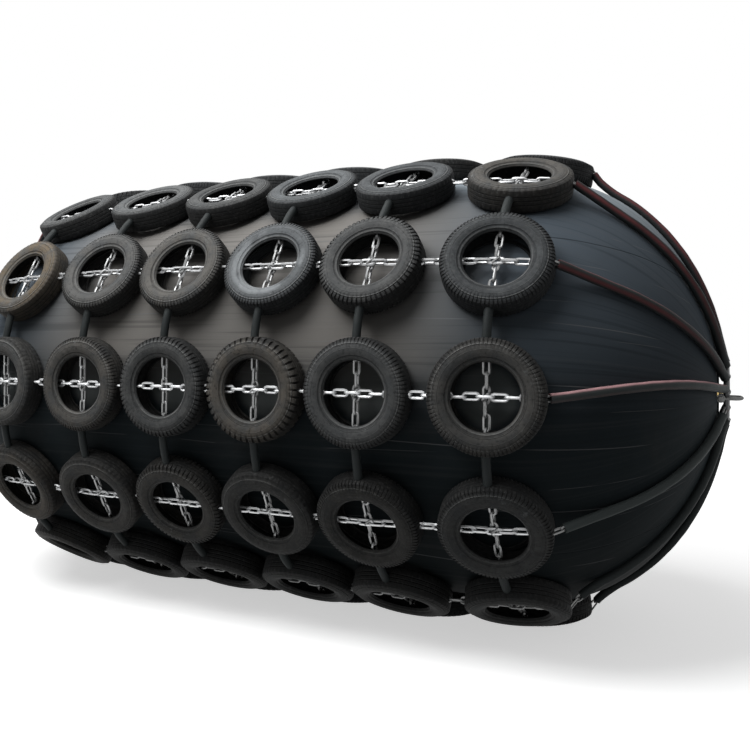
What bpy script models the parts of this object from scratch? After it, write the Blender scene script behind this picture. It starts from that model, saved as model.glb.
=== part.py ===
"""Floating pneumatic ship fender in a net of chain and used truck tyres.

The fender's axis runs along X, at axis_height over the ground, and +Z is up. Twelve rows of tyres lie
lengthwise on the body, and row 01 faces -Y. Both ends are alike, apart from the inflation valve on the
right (+X) and the safety valve on the left.
"""
import math

import bmesh
import bpy
from mathutils import Matrix, Vector

# Rubber body
BODY_DIAMETER = 4.5
STRAIGHT_LENGTH = 5.3
DOME_DEPTH = 1.85
BODY_WALL = 0.035
BODY_SIDES = 24
DOME_STEPS = 7
INNER_DOME_STEPS = 3
INNER_DOME_END_RADIUS = 1.1

# Mouth at each end of the body
RIM_RADIUS = 0.40
RIM_ROUND = 0.04
RIM_DROP = 0.012
RECESS_RADIUS = 0.335
RECESS_DEPTH = 0.09
LIP_THICKNESS = 0.06
LIP_BACK_RADIUS = 0.42
MOUTH_RADIUS = 0.26

# Steelwork that closes the mouth
BEAD_RING_BORE = 0.17
BEAD_RING_LENGTH = 0.085
GASKET_THICKNESS = 0.008
GASKET_RADIUS = 0.30
FLANGE_RADIUS = 0.315
FLANGE_THICKNESS = 0.03
FLANGE_CHAMFER = 0.006
PAD_RADIUS = 0.065
PAD_HEIGHT = 0.003
BOLT_COUNT = 8
BOLT_CIRCLE_RADIUS = 0.205
BOLT_HEAD_RADIUS = 0.023
BOLT_HEAD_HEIGHT = 0.018

# Used tyres
ROW_COUNT = 12
TYRE_DIAMETER = 1.01
TYRE_WIDTH = 0.268
TYRE_OPENING = 0.57
TYRE_SIDES = 12
CROWN_RADIUS = 0.395
SHOULDER_HEIGHT = 0.21
BEAD_HEIGHT = 0.215
TYRE_PITCH = 1.06
END_TYRE_PITCH = 1.155
TYRES_PER_SIDE = 3
SEAT_ROUNDS = 8

# Chains and their rubber sleeves
CHAIN_HEIGHT = 0.165
CHAIN_WIDTH = 0.05
RING_SLEEVE_RADIUS = 0.04
END_SLEEVE_RADIUS = 0.044
SLEEVE_SIDES = 5
SLEEVE_ROOT = 0.02
BARE_CHAIN = 0.12
SLEEVE_END_RADIUS = 0.41
CHAIN_HALF_WIDTH = 0.032
CHAIN_HALF_THICKNESS = 0.012

# Tow ring and tow shackle
TOW_RING_RADIUS = 0.27
TOW_BAR_RADIUS = 0.025
TOW_RING_STAND_OFF = 0.13
TOW_RING_SIDES = 24
SHACKLE_ANGLE = -7.5
SHACKLE_BAR_RADIUS = 0.017
SHACKLE_JAW = 0.075
SHACKLE_INSIDE = 0.145
SHACKLE_EAR_RADIUS = 0.029
SHACKLE_PIN_RADIUS = 0.019
SHACKLE_PIN_PLAY = 0.0004
SHACKLE_HEAD_RADIUS = 0.028
SHACKLE_HEAD_HEIGHT = 0.014
SHACKLE_NUT_RADIUS = 0.032
SHACKLE_NUT_HEIGHT = 0.016
SHACKLE_PIN_TAIL = 0.006
BOW_STEPS = 6

# Inflation valve, a small ball valve in the middle of the right flange
VALVE_NECK_RADIUS = 0.022
VALVE_NECK_LENGTH = 0.02
VALVE_BODY_RADIUS = 0.034
VALVE_BODY_LENGTH = 0.036
VALVE_OUTLET_RADIUS = 0.018
VALVE_OUTLET_LENGTH = 0.03
VALVE_CAP_WALL = 0.007
VALVE_CAP_LENGTH = 0.026
VALVE_STEM_RADIUS = 0.008
VALVE_STEM_LENGTH = 0.05
LEVER_LENGTH = 0.12
LEVER_WIDTH = 0.024
LEVER_THICKNESS = 0.007

# Safety valve in the middle of the left flange
SAFETY_RADIUS = 0.055
SAFETY_HEIGHT = 0.077
SAFETY_WALL = 0.010
SAFETY_SHOULDER = 0.02
SAFETY_PORT_RADIUS = 0.018
SAFETY_STEM_RADIUS = 0.009
SAFETY_STEM_PLAY = 0.0006
POPPET_RADIUS = 0.030
POPPET_THICKNESS = 0.008
POPPET_KNOB_RADIUS = 0.016
POPPET_KNOB_GAP = 0.004
POPPET_KNOB_HEIGHT = 0.008
SPRING_INNER_RADIUS = 0.014
SPRING_OUTER_RADIUS = 0.022
SMALL_SIDES = 12

# Clearance between pieces that touch
GAP = 0.0003

# Values that follow from the sizes above
body_radius = BODY_DIAMETER / 2
straight_half = STRAIGHT_LENGTH / 2
axis_height = body_radius + GAP + TYRE_WIDTH
tyre_radius = TYRE_DIAMETER / 2
tread_distance = tyre_radius * math.cos(math.pi / TYRE_SIDES)
row_step = 2 * math.pi / ROW_COUNT


def clear_scene():
    """Remove the objects that a new file starts with."""
    for old in list(bpy.data.objects):
        bpy.data.objects.remove(old, do_unlink=True)


def make_material(name, colour, roughness, metallic):
    """A plain Principled material."""
    material = bpy.data.materials.new(name)
    material.use_nodes = True
    shader = material.node_tree.nodes["Principled BSDF"]
    shader.inputs["Base Color"].default_value = (*colour, 1.0)
    shader.inputs["Roughness"].default_value = roughness
    shader.inputs["Metallic"].default_value = metallic
    return material


def finish_mesh(bm, name, sharp_angle=35.0):
    """Turn a bmesh into a mesh with its faces out and its round sides shaded smooth."""
    bmesh.ops.recalc_face_normals(bm, faces=bm.faces)
    mesh = bpy.data.meshes.new(name)
    bm.to_mesh(mesh)
    bm.free()
    mesh.shade_smooth()
    mesh.set_sharp_from_angle(angle=math.radians(sharp_angle))
    return mesh


def place(name, mesh, material, matrix, parent=None):
    """Add an object that shows a mesh at a matrix, in world space."""
    if not mesh.materials:
        mesh.materials.append(material)
    item = bpy.data.objects.new(name, mesh)
    bpy.context.scene.collection.objects.link(item)
    item.parent = parent
    if parent:
        item.matrix_parent_inverse = parent.matrix_world.inverted()
    item.matrix_world = matrix
    return item


def turned(name, section, sides, axis="X"):
    """Turn a section of (along, radius) points about an axis.

    A section that stays off the axis is a closed loop. One that starts and ends on it is left open.
    """
    bm = bmesh.new()
    points = []
    for along, radius in section:
        points.append(bm.verts.new((along, 0, radius) if axis == "X" else (radius, 0, along)))
    edges = [bm.edges.new(pair) for pair in zip(points, points[1:])]
    if min(radius for _, radius in section) > 0:
        edges.append(bm.edges.new((points[-1], points[0])))
    spin_axis = (1, 0, 0) if axis == "X" else (0, 0, 1)
    bmesh.ops.spin(bm, geom=points + edges, cent=(0, 0, 0), axis=spin_axis,
                   angle=2 * math.pi, steps=sides, use_merge=True)
    bmesh.ops.remove_doubles(bm, verts=bm.verts, dist=0.00001)
    return finish_mesh(bm, name)


def lofted(name, rings):
    """Join rings of as many points each into one closed body with flat ends."""
    bm = bmesh.new()
    loops = [[bm.verts.new(point) for point in ring] for ring in rings]
    count = len(loops[0])
    for first, second in zip(loops, loops[1:]):
        for i in range(count):
            j = (i + 1) % count
            bm.faces.new((first[i], first[j], second[j], second[i]))
    bm.faces.new(loops[0])
    bm.faces.new(loops[-1])
    return finish_mesh(bm, name)


def section_ring(centre, across, up, half_across, half_up, sides=SLEEVE_SIDES):
    """The points of an oval section with one corner straight down, against the body."""
    ring = []
    for i in range(sides):
        angle = 2 * math.pi * i / sides
        ring.append(centre + across * half_across * math.sin(angle) - up * half_up * math.cos(angle))
    return ring


def cut_flush(ring, along, point, normal):
    """Slide a ring's points along a direction until they lie in a plane."""
    return [p + along * ((point - p).dot(normal) / along.dot(normal)) for p in ring]


def joined(name, base, others, operation="UNION"):
    """Boolean of a base mesh with other meshes, evaluated into one new mesh."""
    group = bpy.data.collections.new(f"{name}_tools")
    bpy.context.scene.collection.children.link(group)
    helpers = []
    for mesh in others:
        tool = bpy.data.objects.new(mesh.name, mesh)
        tool.hide_render = True
        tool.display_type = "WIRE"
        group.objects.link(tool)
        helpers.append(tool)
    item = bpy.data.objects.new(name, base)
    bpy.context.scene.collection.objects.link(item)
    cut = item.modifiers.new("Join", "BOOLEAN")
    cut.operation = operation
    cut.operand_type = "COLLECTION"
    cut.collection = group
    cut.solver = "EXACT"
    bpy.context.view_layer.update()
    result = bpy.data.meshes.new_from_object(item.evaluated_get(bpy.context.evaluated_depsgraph_get()))
    for helper in (item, *helpers):
        bpy.data.objects.remove(helper, do_unlink=True)
    bpy.data.collections.remove(group)
    bm = bmesh.new()
    bm.from_mesh(result)
    bmesh.ops.remove_doubles(bm, verts=bm.verts, dist=0.00001)
    bmesh.ops.dissolve_degenerate(bm, edges=bm.edges, dist=0.00001)
    return finish_mesh(bm, name)


def mirrored(mesh):
    """A copy of a right-hand mesh for the left end."""
    bm = bmesh.new()
    bm.from_mesh(mesh)
    bmesh.ops.scale(bm, verts=bm.verts, vec=(-1, 1, 1))
    return finish_mesh(bm, f"{mesh.name}_left")


def dome_profile(depth, radius, end_radius, steps):
    """Points of an elliptic dome from its edge to where its radius is end_radius."""
    last = math.acos(end_radius / radius)
    angles = [last * i / steps for i in range(steps + 1)]
    return [(straight_half + depth * math.sin(a), radius * math.cos(a)) for a in angles]


def outer_profile():
    """The right half of the body's outside, from the barrel to the rim of the mouth."""
    return dome_profile(DOME_DEPTH, body_radius, RIM_RADIUS, DOME_STEPS)


def lip_face():
    """How far out the face that the gasket lies on is."""
    return outer_profile()[-1][0] - RECESS_DEPTH


def flange_face():
    """How far out the flat outer face of the end flange is."""
    return lip_face() + 2 * GAP + GASKET_THICKNESS + FLANGE_THICKNESS


def pad_face():
    """How far out the raised pad in the middle of the flange is, where the valve sits."""
    return flange_face() + PAD_HEIGHT


def tow_ring_plane():
    """How far out the middle of the tow ring is."""
    return flange_face() + TOW_RING_STAND_OFF


def body_radius_at(x):
    """The radius of the faceted body at a distance x from its middle."""
    profile = outer_profile()
    if abs(x) <= straight_half:
        return body_radius
    for (x0, r0), (x1, r1) in zip(profile, profile[1:]):
        if abs(x) <= x1:
            return r0 + (r1 - r0) * (abs(x) - x0) / (x1 - x0)
    return profile[-1][1]


def body_mesh():
    """The hollow rubber body, open at both ends, turned from one closed section."""
    lip = lip_face()
    rim_x = outer_profile()[-1][0]
    outside = outer_profile()
    mouth = [(rim_x - RIM_DROP, RIM_RADIUS - RIM_ROUND), (lip, RECESS_RADIUS), (lip, MOUTH_RADIUS)]
    inside = dome_profile(DOME_DEPTH - BODY_WALL, body_radius - BODY_WALL,
                          INNER_DOME_END_RADIUS, INNER_DOME_STEPS)
    back = [(lip - LIP_THICKNESS, MOUTH_RADIUS), (lip - LIP_THICKNESS, LIP_BACK_RADIUS)]
    right = inside + back[::-1] + mouth[::-1] + outside[::-1]
    left = [(-x, r) for x, r in reversed(right)]
    return turned("fender_body", right + left, BODY_SIDES)


def tyre_mesh(centre, tilt):
    """One tyre lying on its side, for the row on top of the body."""
    section = [
        (0, tyre_radius),
        (BEAD_HEIGHT, TYRE_OPENING / 2),
        (TYRE_WIDTH, CROWN_RADIUS),
        (SHOULDER_HEIGHT, tyre_radius),
    ]
    mesh = turned("tyre", section, TYRE_SIDES, axis="Z")
    turn = Matrix.Rotation(math.pi / TYRE_SIDES, 4, "Z")
    mesh.transform(Matrix.Translation(centre) @ Matrix.Rotation(tilt, 4, "Y") @ turn)
    return mesh


def tyre_places():
    """The middle of each tyre's foot and its tilt, along the row on top of the body.

    The tilt is that of the line between the two points of the body that the foot rests on. These move
    a little as the tyre tilts, so the tilt is worked out a few times over.
    """
    places = []
    half = [TYRE_PITCH * (i + 0.5) for i in range(TYRES_PER_SIDE - 1)]
    half.append(half[-1] + END_TYRE_PITCH)
    for x in [-h for h in reversed(half)] + half:
        tilt = 0
        for _ in range(SEAT_ROUNDS):
            reach = tread_distance * math.cos(tilt)
            inner_r = body_radius_at(x - reach)
            outer_r = body_radius_at(x + reach)
            tilt = math.atan2(inner_r - outer_r, 2 * reach)
        normal = Vector((math.sin(tilt), 0, math.cos(tilt)))
        foot = Vector((x, 0, (inner_r + outer_r) / 2))
        places.append((foot + normal * GAP, tilt))
    return places


def in_tyre(spot, along, across, height):
    """A point given in a tyre's own directions: along the row, across it and up from its foot."""
    centre, tilt = spot
    return centre + Matrix.Rotation(tilt, 3, "Y") @ Vector((along, across, height))


def row_chain_mesh(places):
    """The chain through a row, as a square bar that bends inside the end tyres."""
    hidden = (tyre_radius + TYRE_OPENING / 2) / 2
    stops = [
        in_tyre(places[0], -hidden, 0, CHAIN_HEIGHT),
        in_tyre(places[0], hidden, 0, CHAIN_HEIGHT),
        in_tyre(places[1], -hidden, 0, CHAIN_HEIGHT),
        in_tyre(places[-2], hidden, 0, CHAIN_HEIGHT),
        in_tyre(places[-1], -hidden, 0, CHAIN_HEIGHT),
        in_tyre(places[-1], hidden, 0, CHAIN_HEIGHT),
    ]
    across = Vector((0, 1, 0))
    up = Vector((0, 0, 1))
    half = CHAIN_WIDTH / math.sqrt(2)
    return lofted("row_chain", [section_ring(stop, across, up, half, half, sides=4) for stop in stops])


def ring_sleeve_mesh(spot):
    """The sleeve from a tyre to its neighbour in the next row, cut to lie flat on both treads."""
    start = in_tyre(spot, 0, tread_distance - SLEEVE_ROOT, CHAIN_HEIGHT)
    turn = Matrix.Rotation(-row_step, 3, "X")
    facing = turn @ Vector((0, 1, 0))
    end = turn @ in_tyre(spot, 0, -tread_distance - GAP, CHAIN_HEIGHT)
    leave = in_tyre(spot, 0, tread_distance, CHAIN_HEIGHT)
    along = (end - leave).normalized()
    across = Vector((1, 0, 0))
    up = across.cross(along)
    rings = []
    for point, normal in ((start, Vector((0, 1, 0))), (end, facing)):
        ring = section_ring(point, across, up, RING_SLEEVE_RADIUS, RING_SLEEVE_RADIUS)
        rings.append(cut_flush(ring, along, point, normal))
    return lofted("ring_sleeve", rings)


def tyre_row_mesh():
    """Six tyres on their chain, with the six sleeves that lead to the next row, as one body."""
    places = tyre_places()
    pieces = [tyre_mesh(*spot) for spot in places]
    pieces.append(row_chain_mesh(places))
    pieces += [ring_sleeve_mesh(spot) for spot in places]
    return joined("tyre_row", pieces[0], pieces[1:])


def hull_path(points):
    """The taut line over a set of (x, r) points, from the first to the last, bulging outwards."""
    path = []
    for point in points:
        while len(path) > 1:
            (x0, r0), (x1, r1) = path[-2:]
            if (x1 - x0) * (point[1] - r0) - (r1 - r0) * (point[0] - x0) < 0:
                break
            path.pop()
        path.append(point)
    return path


def offset_profile(distance):
    """The dome's outside moved out by a distance, with each run parallel to the body's."""
    profile = [(0, body_radius)] + outer_profile()
    moved = []
    for (x0, r0), (x1, r1), (x2, r2) in zip(profile, profile[1:], profile[2:]):
        first = Vector((r0 - r1, x1 - x0)).normalized()
        second = Vector((r1 - r2, x2 - x1)).normalized()
        bisector = (first + second).normalized()
        step = distance / bisector.dot(first)
        moved.append((x1 + bisector.x * step, r1 + bisector.y * step))
    return moved


def end_chain_mesh():
    """A sleeved chain from the last tyre of the top row, over the dome, to the tow ring."""
    spot = tyre_places()[-1]
    start = in_tyre(spot, tread_distance + GAP, 0, CHAIN_HEIGHT)
    tow_x = tow_ring_plane()
    bar_flat = TOW_BAR_RADIUS * math.cos(math.pi / 6)
    end = (tow_x, TOW_RING_RADIUS + bar_flat + GAP)
    over = [p for p in offset_profile(END_SLEEVE_RADIUS + GAP) if p[0] > start.x]
    path = [Vector((x, 0, r)) for x, r in hull_path([(start.x, start.z), *over, end])]
    leave = (path[1] - path[0]).normalized()
    arrive = (path[-1] - path[-2]).normalized()
    sleeve_start = path[0] + leave * BARE_CHAIN
    sleeve_end = path[-1] - arrive * ((SLEEVE_END_RADIUS - end[1]) / -arrive.z)
    across = Vector((0, 1, 0))
    thin = (CHAIN_HALF_THICKNESS, CHAIN_HALF_WIDTH)
    thick = (END_SLEEVE_RADIUS, END_SLEEVE_RADIUS)
    stations = [(path[0], leave, thin), (sleeve_start, leave, thin), (sleeve_start, leave, thick)]
    for before, point, after in zip(path, path[1:], path[2:]):
        heading = ((point - before).normalized() + (after - point).normalized()).normalized()
        stations.append((point, heading, thick))
    stations += [(sleeve_end, arrive, thick), (sleeve_end, arrive, thin), (path[-1], arrive, thin)]
    rings = []
    for point, heading, (half_across, half_up) in stations:
        rings.append(section_ring(point, across, heading.cross(across), half_across, half_up))
    tread = Matrix.Rotation(spot[1], 3, "Y") @ Vector((1, 0, 0))
    rings[0] = cut_flush(rings[0], leave, path[0], tread)
    rings[-1] = cut_flush(rings[-1], arrive, path[-1], Vector((0, 0, 1)))
    return lofted("end_chain", rings)


def row_turn(index):
    """The turn about the fender's axis from the top row to row number index + 1."""
    return Matrix.Rotation(math.pi / 2 - index * row_step, 4, "X")


def flange_mesh():
    """A blank end flange with its valve pad and bolt heads, for the right end."""
    face = flange_face()
    back = face - FLANGE_THICKNESS
    plate = turned("flange_plate", [
        (back, 0),
        (back, FLANGE_RADIUS),
        (face - FLANGE_CHAMFER, FLANGE_RADIUS),
        (face, FLANGE_RADIUS - FLANGE_CHAMFER),
        (face, PAD_RADIUS),
        (pad_face(), PAD_RADIUS),
        (pad_face(), 0),
    ], BODY_SIDES)
    heads = []
    for i in range(BOLT_COUNT):
        bm = bmesh.new()
        bmesh.ops.create_cone(bm, cap_ends=True, segments=6, radius1=BOLT_HEAD_RADIUS,
                              radius2=BOLT_HEAD_RADIUS, depth=2 * BOLT_HEAD_HEIGHT)
        lay = Matrix.Rotation(math.pi / 2, 4, "Y")
        angle = 2 * math.pi * (i + 0.5) / BOLT_COUNT
        put = Matrix.Translation((face, 0, BOLT_CIRCLE_RADIUS))
        bmesh.ops.transform(bm, verts=bm.verts, matrix=Matrix.Rotation(angle, 4, "X") @ put @ lay)
        heads.append(finish_mesh(bm, f"bolt_{i}"))
    return joined("end_flange", plate, heads)


def plain_ring(name, x0, x1, inner, outer, sides=BODY_SIDES):
    """A ring of rectangular section about the fender's axis."""
    return turned(name, [(x0, inner), (x0, outer), (x1, outer), (x1, inner)], sides)


def tow_ring_mesh():
    """The round tow ring. Its six-sided bar has a flat on the outside, where the chains arrive."""
    centre = tow_ring_plane()
    section = []
    for i in range(6):
        angle = math.pi / 6 + i * math.pi / 3
        section.append((centre + TOW_BAR_RADIUS * math.sin(angle),
                        TOW_RING_RADIUS + TOW_BAR_RADIUS * math.cos(angle)))
    return turned("tow_ring", section, TOW_RING_SIDES)


def shackle_frame():
    """The place of a shackle: on the tow ring's bar, x outwards, y away from the fender's axis."""
    angle = math.radians(SHACKLE_ANGLE)
    radius = TOW_RING_RADIUS * math.cos(math.pi / TOW_RING_SIDES)
    outward = Vector((0, -math.cos(angle), math.sin(angle)))
    tangent = Vector((1, 0, 0)).cross(outward)
    matrix = Matrix((Vector((1, 0, 0)), outward, tangent)).transposed().to_4x4()
    matrix.translation = outward * radius + Vector((tow_ring_plane(), 0, 0))
    return matrix


def pin_offset():
    """How far behind the ring's bar the shackle's pin lies."""
    return TOW_BAR_RADIUS + SHACKLE_PIN_RADIUS + GAP


def cylinder_mesh(name, radius, y0, y1, x, sides=SMALL_SIDES):
    """A round bar along local y at a local x."""
    bm = bmesh.new()
    bmesh.ops.create_cone(bm, cap_ends=True, segments=sides, radius1=radius, radius2=radius, depth=y1 - y0)
    lay = Matrix.Rotation(-math.pi / 2, 4, "X")
    bmesh.ops.transform(bm, verts=bm.verts, matrix=Matrix.Translation((x, (y0 + y1) / 2, 0)) @ lay)
    return finish_mesh(bm, name)


def shackle_mesh():
    """A D shackle round the ring's bar: a bent bar with two eyed ears."""
    pin_x = -pin_offset()
    half = SHACKLE_JAW / 2 + SHACKLE_BAR_RADIUS
    bow_x = pin_x + SHACKLE_PIN_RADIUS + SHACKLE_INSIDE + SHACKLE_BAR_RADIUS - half
    line = [(Vector((pin_x, -half, 0)), Vector((1, 0, 0)))]
    for i in range(BOW_STEPS + 1):
        angle = math.pi * i / BOW_STEPS
        point = Vector((bow_x + half * math.sin(angle), -half * math.cos(angle), 0))
        line.append((point, Vector((math.cos(angle), math.sin(angle), 0))))
    line.append((Vector((pin_x, half, 0)), Vector((-1, 0, 0))))
    up = Vector((0, 0, 1))
    rings = []
    for point, heading in line:
        rings.append(section_ring(point, heading.cross(up), up, SHACKLE_BAR_RADIUS, SHACKLE_BAR_RADIUS))
    bow = lofted("shackle_bow", rings)
    ears = []
    for side in (-1, 1):
        y0, y1 = sorted((side * SHACKLE_JAW / 2, side * (SHACKLE_JAW / 2 + 2 * SHACKLE_BAR_RADIUS)))
        ears.append(cylinder_mesh(f"ear_{side}", SHACKLE_EAR_RADIUS, y0, y1, pin_x))
    solid = joined("shackle_solid", bow, ears)
    reach = SHACKLE_JAW / 2 + 4 * SHACKLE_BAR_RADIUS
    bore = cylinder_mesh("bore", SHACKLE_PIN_RADIUS + SHACKLE_PIN_PLAY, -reach, reach, pin_x)
    return joined("tow_shackle", solid, [bore], operation="DIFFERENCE")


def shackle_pin_mesh():
    """The shackle's pin with its round head, its far end left to stand out of the nut."""
    pin_x = -pin_offset()
    outer = SHACKLE_JAW / 2 + 2 * SHACKLE_BAR_RADIUS + GAP
    tail = outer + SHACKLE_NUT_HEIGHT + SHACKLE_PIN_TAIL
    shaft = cylinder_mesh("shaft", SHACKLE_PIN_RADIUS, -outer - SHACKLE_HEAD_HEIGHT / 2, tail, pin_x)
    head = cylinder_mesh("head", SHACKLE_HEAD_RADIUS, -outer - SHACKLE_HEAD_HEIGHT, -outer, pin_x)
    return joined("shackle_pin", head, [shaft])


def shackle_nut_mesh():
    """The six-sided nut on the shackle's pin."""
    pin_x = -pin_offset()
    inner = SHACKLE_JAW / 2 + 2 * SHACKLE_BAR_RADIUS + GAP
    nut = cylinder_mesh("nut", SHACKLE_NUT_RADIUS, inner, inner + SHACKLE_NUT_HEIGHT, pin_x, sides=6)
    hole = cylinder_mesh("hole", SHACKLE_PIN_RADIUS + GAP, inner - SHACKLE_NUT_HEIGHT,
                         inner + 2 * SHACKLE_NUT_HEIGHT, pin_x)
    return joined("shackle_nut", nut, [hole], operation="DIFFERENCE")


def valve_mesh():
    """The inflation valve's body on the right flange, with the stem that its lever turns on."""
    foot = pad_face() + GAP
    neck = foot + VALVE_NECK_LENGTH
    shoulder = neck + VALVE_BODY_LENGTH
    outlet = shoulder + VALVE_OUTLET_LENGTH
    body = turned("valve_body", [
        (foot, 0),
        (foot, VALVE_NECK_RADIUS),
        (neck, VALVE_NECK_RADIUS),
        (neck, VALVE_BODY_RADIUS),
        (shoulder, VALVE_BODY_RADIUS),
        (shoulder, VALVE_OUTLET_RADIUS),
        (outlet, VALVE_OUTLET_RADIUS),
        (outlet, 0),
    ], SMALL_SIDES)
    bm = bmesh.new()
    bmesh.ops.create_cone(bm, cap_ends=True, segments=8, radius1=VALVE_STEM_RADIUS,
                          radius2=VALVE_STEM_RADIUS, depth=VALVE_STEM_LENGTH)
    bmesh.ops.translate(bm, verts=bm.verts, vec=(valve_middle(), 0, VALVE_STEM_LENGTH / 2))
    return joined("inflation_valve", body, [finish_mesh(bm, "valve_stem")])


def valve_middle():
    """How far out the middle of the valve's ball and stem is."""
    return pad_face() + GAP + VALVE_NECK_LENGTH + VALVE_BODY_LENGTH / 2


def valve_cap_mesh():
    """The screw cap over the valve's outlet."""
    shoulder = pad_face() + GAP + VALVE_NECK_LENGTH + VALVE_BODY_LENGTH
    inner = VALVE_OUTLET_RADIUS + GAP
    end = shoulder + VALVE_OUTLET_LENGTH + GAP
    start = end - VALVE_CAP_LENGTH
    return turned("valve_cap", [
        (start, inner),
        (end, inner),
        (end, 0),
        (end + VALVE_CAP_WALL, 0),
        (end + VALVE_CAP_WALL, inner + VALVE_CAP_WALL),
        (start, inner + VALVE_CAP_WALL),
        (start, inner),
    ], SMALL_SIDES)


def lever_mesh():
    """The valve's flat lever, in its own frame: it turns about local z and points along local y."""
    bm = bmesh.new()
    half = LEVER_WIDTH / 2
    outline = [(half, -half), (half, LEVER_LENGTH - half), (half / 2, LEVER_LENGTH),
               (-half / 2, LEVER_LENGTH), (-half, LEVER_LENGTH - half), (-half, -half)]
    base = bm.faces.new([bm.verts.new((x, y, 0)) for x, y in outline])
    grown = bmesh.ops.extrude_face_region(bm, geom=[base])["geom"]
    top = [v for v in grown if isinstance(v, bmesh.types.BMVert)]
    bmesh.ops.translate(bm, verts=top, vec=(0, 0, LEVER_THICKNESS))
    return finish_mesh(bm, "valve_lever")


def safety_levels():
    """How far out the safety valve's pieces meet."""
    foot = pad_face() + GAP
    seat = foot + SAFETY_WALL
    poppet_top = seat + GAP + POPPET_THICKNESS
    roof = foot + SAFETY_HEIGHT - SAFETY_WALL
    return foot, seat, poppet_top, roof, foot + SAFETY_HEIGHT


def safety_housing_mesh():
    """The safety valve's housing, hollow, with its port at the foot and the stem's hole on top."""
    foot, seat, _, roof, top = safety_levels()
    hole = SAFETY_STEM_RADIUS + SAFETY_STEM_PLAY
    inner = SAFETY_RADIUS - SAFETY_WALL
    return turned("safety_housing", [
        (foot, SAFETY_PORT_RADIUS),
        (foot, SAFETY_RADIUS),
        (top - SAFETY_SHOULDER, SAFETY_RADIUS),
        (top, SAFETY_RADIUS - SAFETY_SHOULDER),
        (top, hole),
        (roof, hole),
        (roof, inner - SAFETY_WALL),
        (roof - SAFETY_WALL, inner),
        (seat, inner),
        (seat, SAFETY_PORT_RADIUS),
    ], SMALL_SIDES)


def poppet_mesh():
    """The safety valve's poppet on its stem, with the knob that tests it by hand."""
    _, seat, poppet_top, _, top = safety_levels()
    knob = top + POPPET_KNOB_GAP
    return turned("safety_poppet", [
        (seat + GAP, 0),
        (seat + GAP, POPPET_RADIUS),
        (poppet_top, POPPET_RADIUS),
        (poppet_top, SAFETY_STEM_RADIUS),
        (knob, SAFETY_STEM_RADIUS),
        (knob, POPPET_KNOB_RADIUS),
        (knob + POPPET_KNOB_HEIGHT, POPPET_KNOB_RADIUS),
        (knob + POPPET_KNOB_HEIGHT, 0),
    ], SMALL_SIDES)


def build_body(finishes):
    """The rubber body, on the fender's axis."""
    lift = Matrix.Translation((0, 0, axis_height))
    place("fender_body", body_mesh(), finishes["body"], lift)


def build_net(finishes):
    """The rows of tyres and the sleeved chains over both domes."""
    lift = Matrix.Translation((0, 0, axis_height))
    row = tyre_row_mesh()
    right = end_chain_mesh()
    left = mirrored(right)
    for i in range(ROW_COUNT):
        turn = lift @ row_turn(i)
        place(f"tyre_row_{i + 1:02d}", row, finishes["tyre"], turn)
        place(f"end_chain_right_{i + 1:02d}", right, finishes["sleeve"], turn)
        place(f"end_chain_left_{i + 1:02d}", left, finishes["sleeve"], turn)


def build_end(finishes, side):
    """The mouth's steelwork, the tow ring and the tow shackle of one end."""
    lift = Matrix.Translation((0, 0, axis_height))
    word = "right" if side > 0 else "left"
    lip = lip_face()
    fixed = [
        ("bead_ring", plain_ring("bead_ring", lip - BEAD_RING_LENGTH, lip,
                                 BEAD_RING_BORE, MOUTH_RADIUS - GAP), "steel"),
        ("flange_gasket", plain_ring("flange_gasket", lip + GAP, lip + GAP + GASKET_THICKNESS,
                                     BEAD_RING_BORE, GASKET_RADIUS, SMALL_SIDES), "sleeve"),
        ("end_flange", flange_mesh(), "steel"),
        ("tow_ring", tow_ring_mesh(), "steel"),
    ]
    for name, mesh, finish in fixed:
        place(f"{name}_{word}", mesh if side > 0 else mirrored(mesh), finishes[finish], lift)
    flip = Matrix.Diagonal((side, 1, 1, 1))
    frame = lift @ flip @ shackle_frame() @ flip
    hinge = bpy.data.objects.new(f"tow_shackle_{word}_hinge", None)
    bpy.context.scene.collection.objects.link(hinge)
    hinge.matrix_world = frame
    bpy.context.view_layer.update()
    swinging = [
        ("tow_shackle", shackle_mesh(), "galvanised"),
        ("shackle_pin", shackle_pin_mesh(), "galvanised"),
        ("shackle_nut", shackle_nut_mesh(), "galvanised"),
    ]
    for name, mesh, finish in swinging:
        place(f"{name}_{word}", mesh if side > 0 else mirrored(mesh), finishes[finish], frame, hinge)


def build_valves(finishes):
    """The inflation valve on the right flange and the safety valve on the left one."""
    lift = Matrix.Translation((0, 0, axis_height))
    place("inflation_valve", valve_mesh(), finishes["brass"], lift)
    place("valve_cap", valve_cap_mesh(), finishes["brass"], lift)
    stem_top = Vector((valve_middle(), 0, VALVE_STEM_LENGTH + GAP))
    place("valve_lever", lever_mesh(), finishes["lever"], lift @ Matrix.Translation(stem_top))
    _, _, poppet_top, roof, _ = safety_levels()
    spring = plain_ring("safety_spring", poppet_top + GAP, roof - GAP,
                        SPRING_INNER_RADIUS, SPRING_OUTER_RADIUS, SMALL_SIDES)
    for name, mesh, finish in (
        ("safety_housing", safety_housing_mesh(), "brass"),
        ("safety_spring", spring, "steel"),
        ("safety_poppet", poppet_mesh(), "brass"),
    ):
        place(name, mirrored(mesh), finishes[finish], lift)


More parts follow.
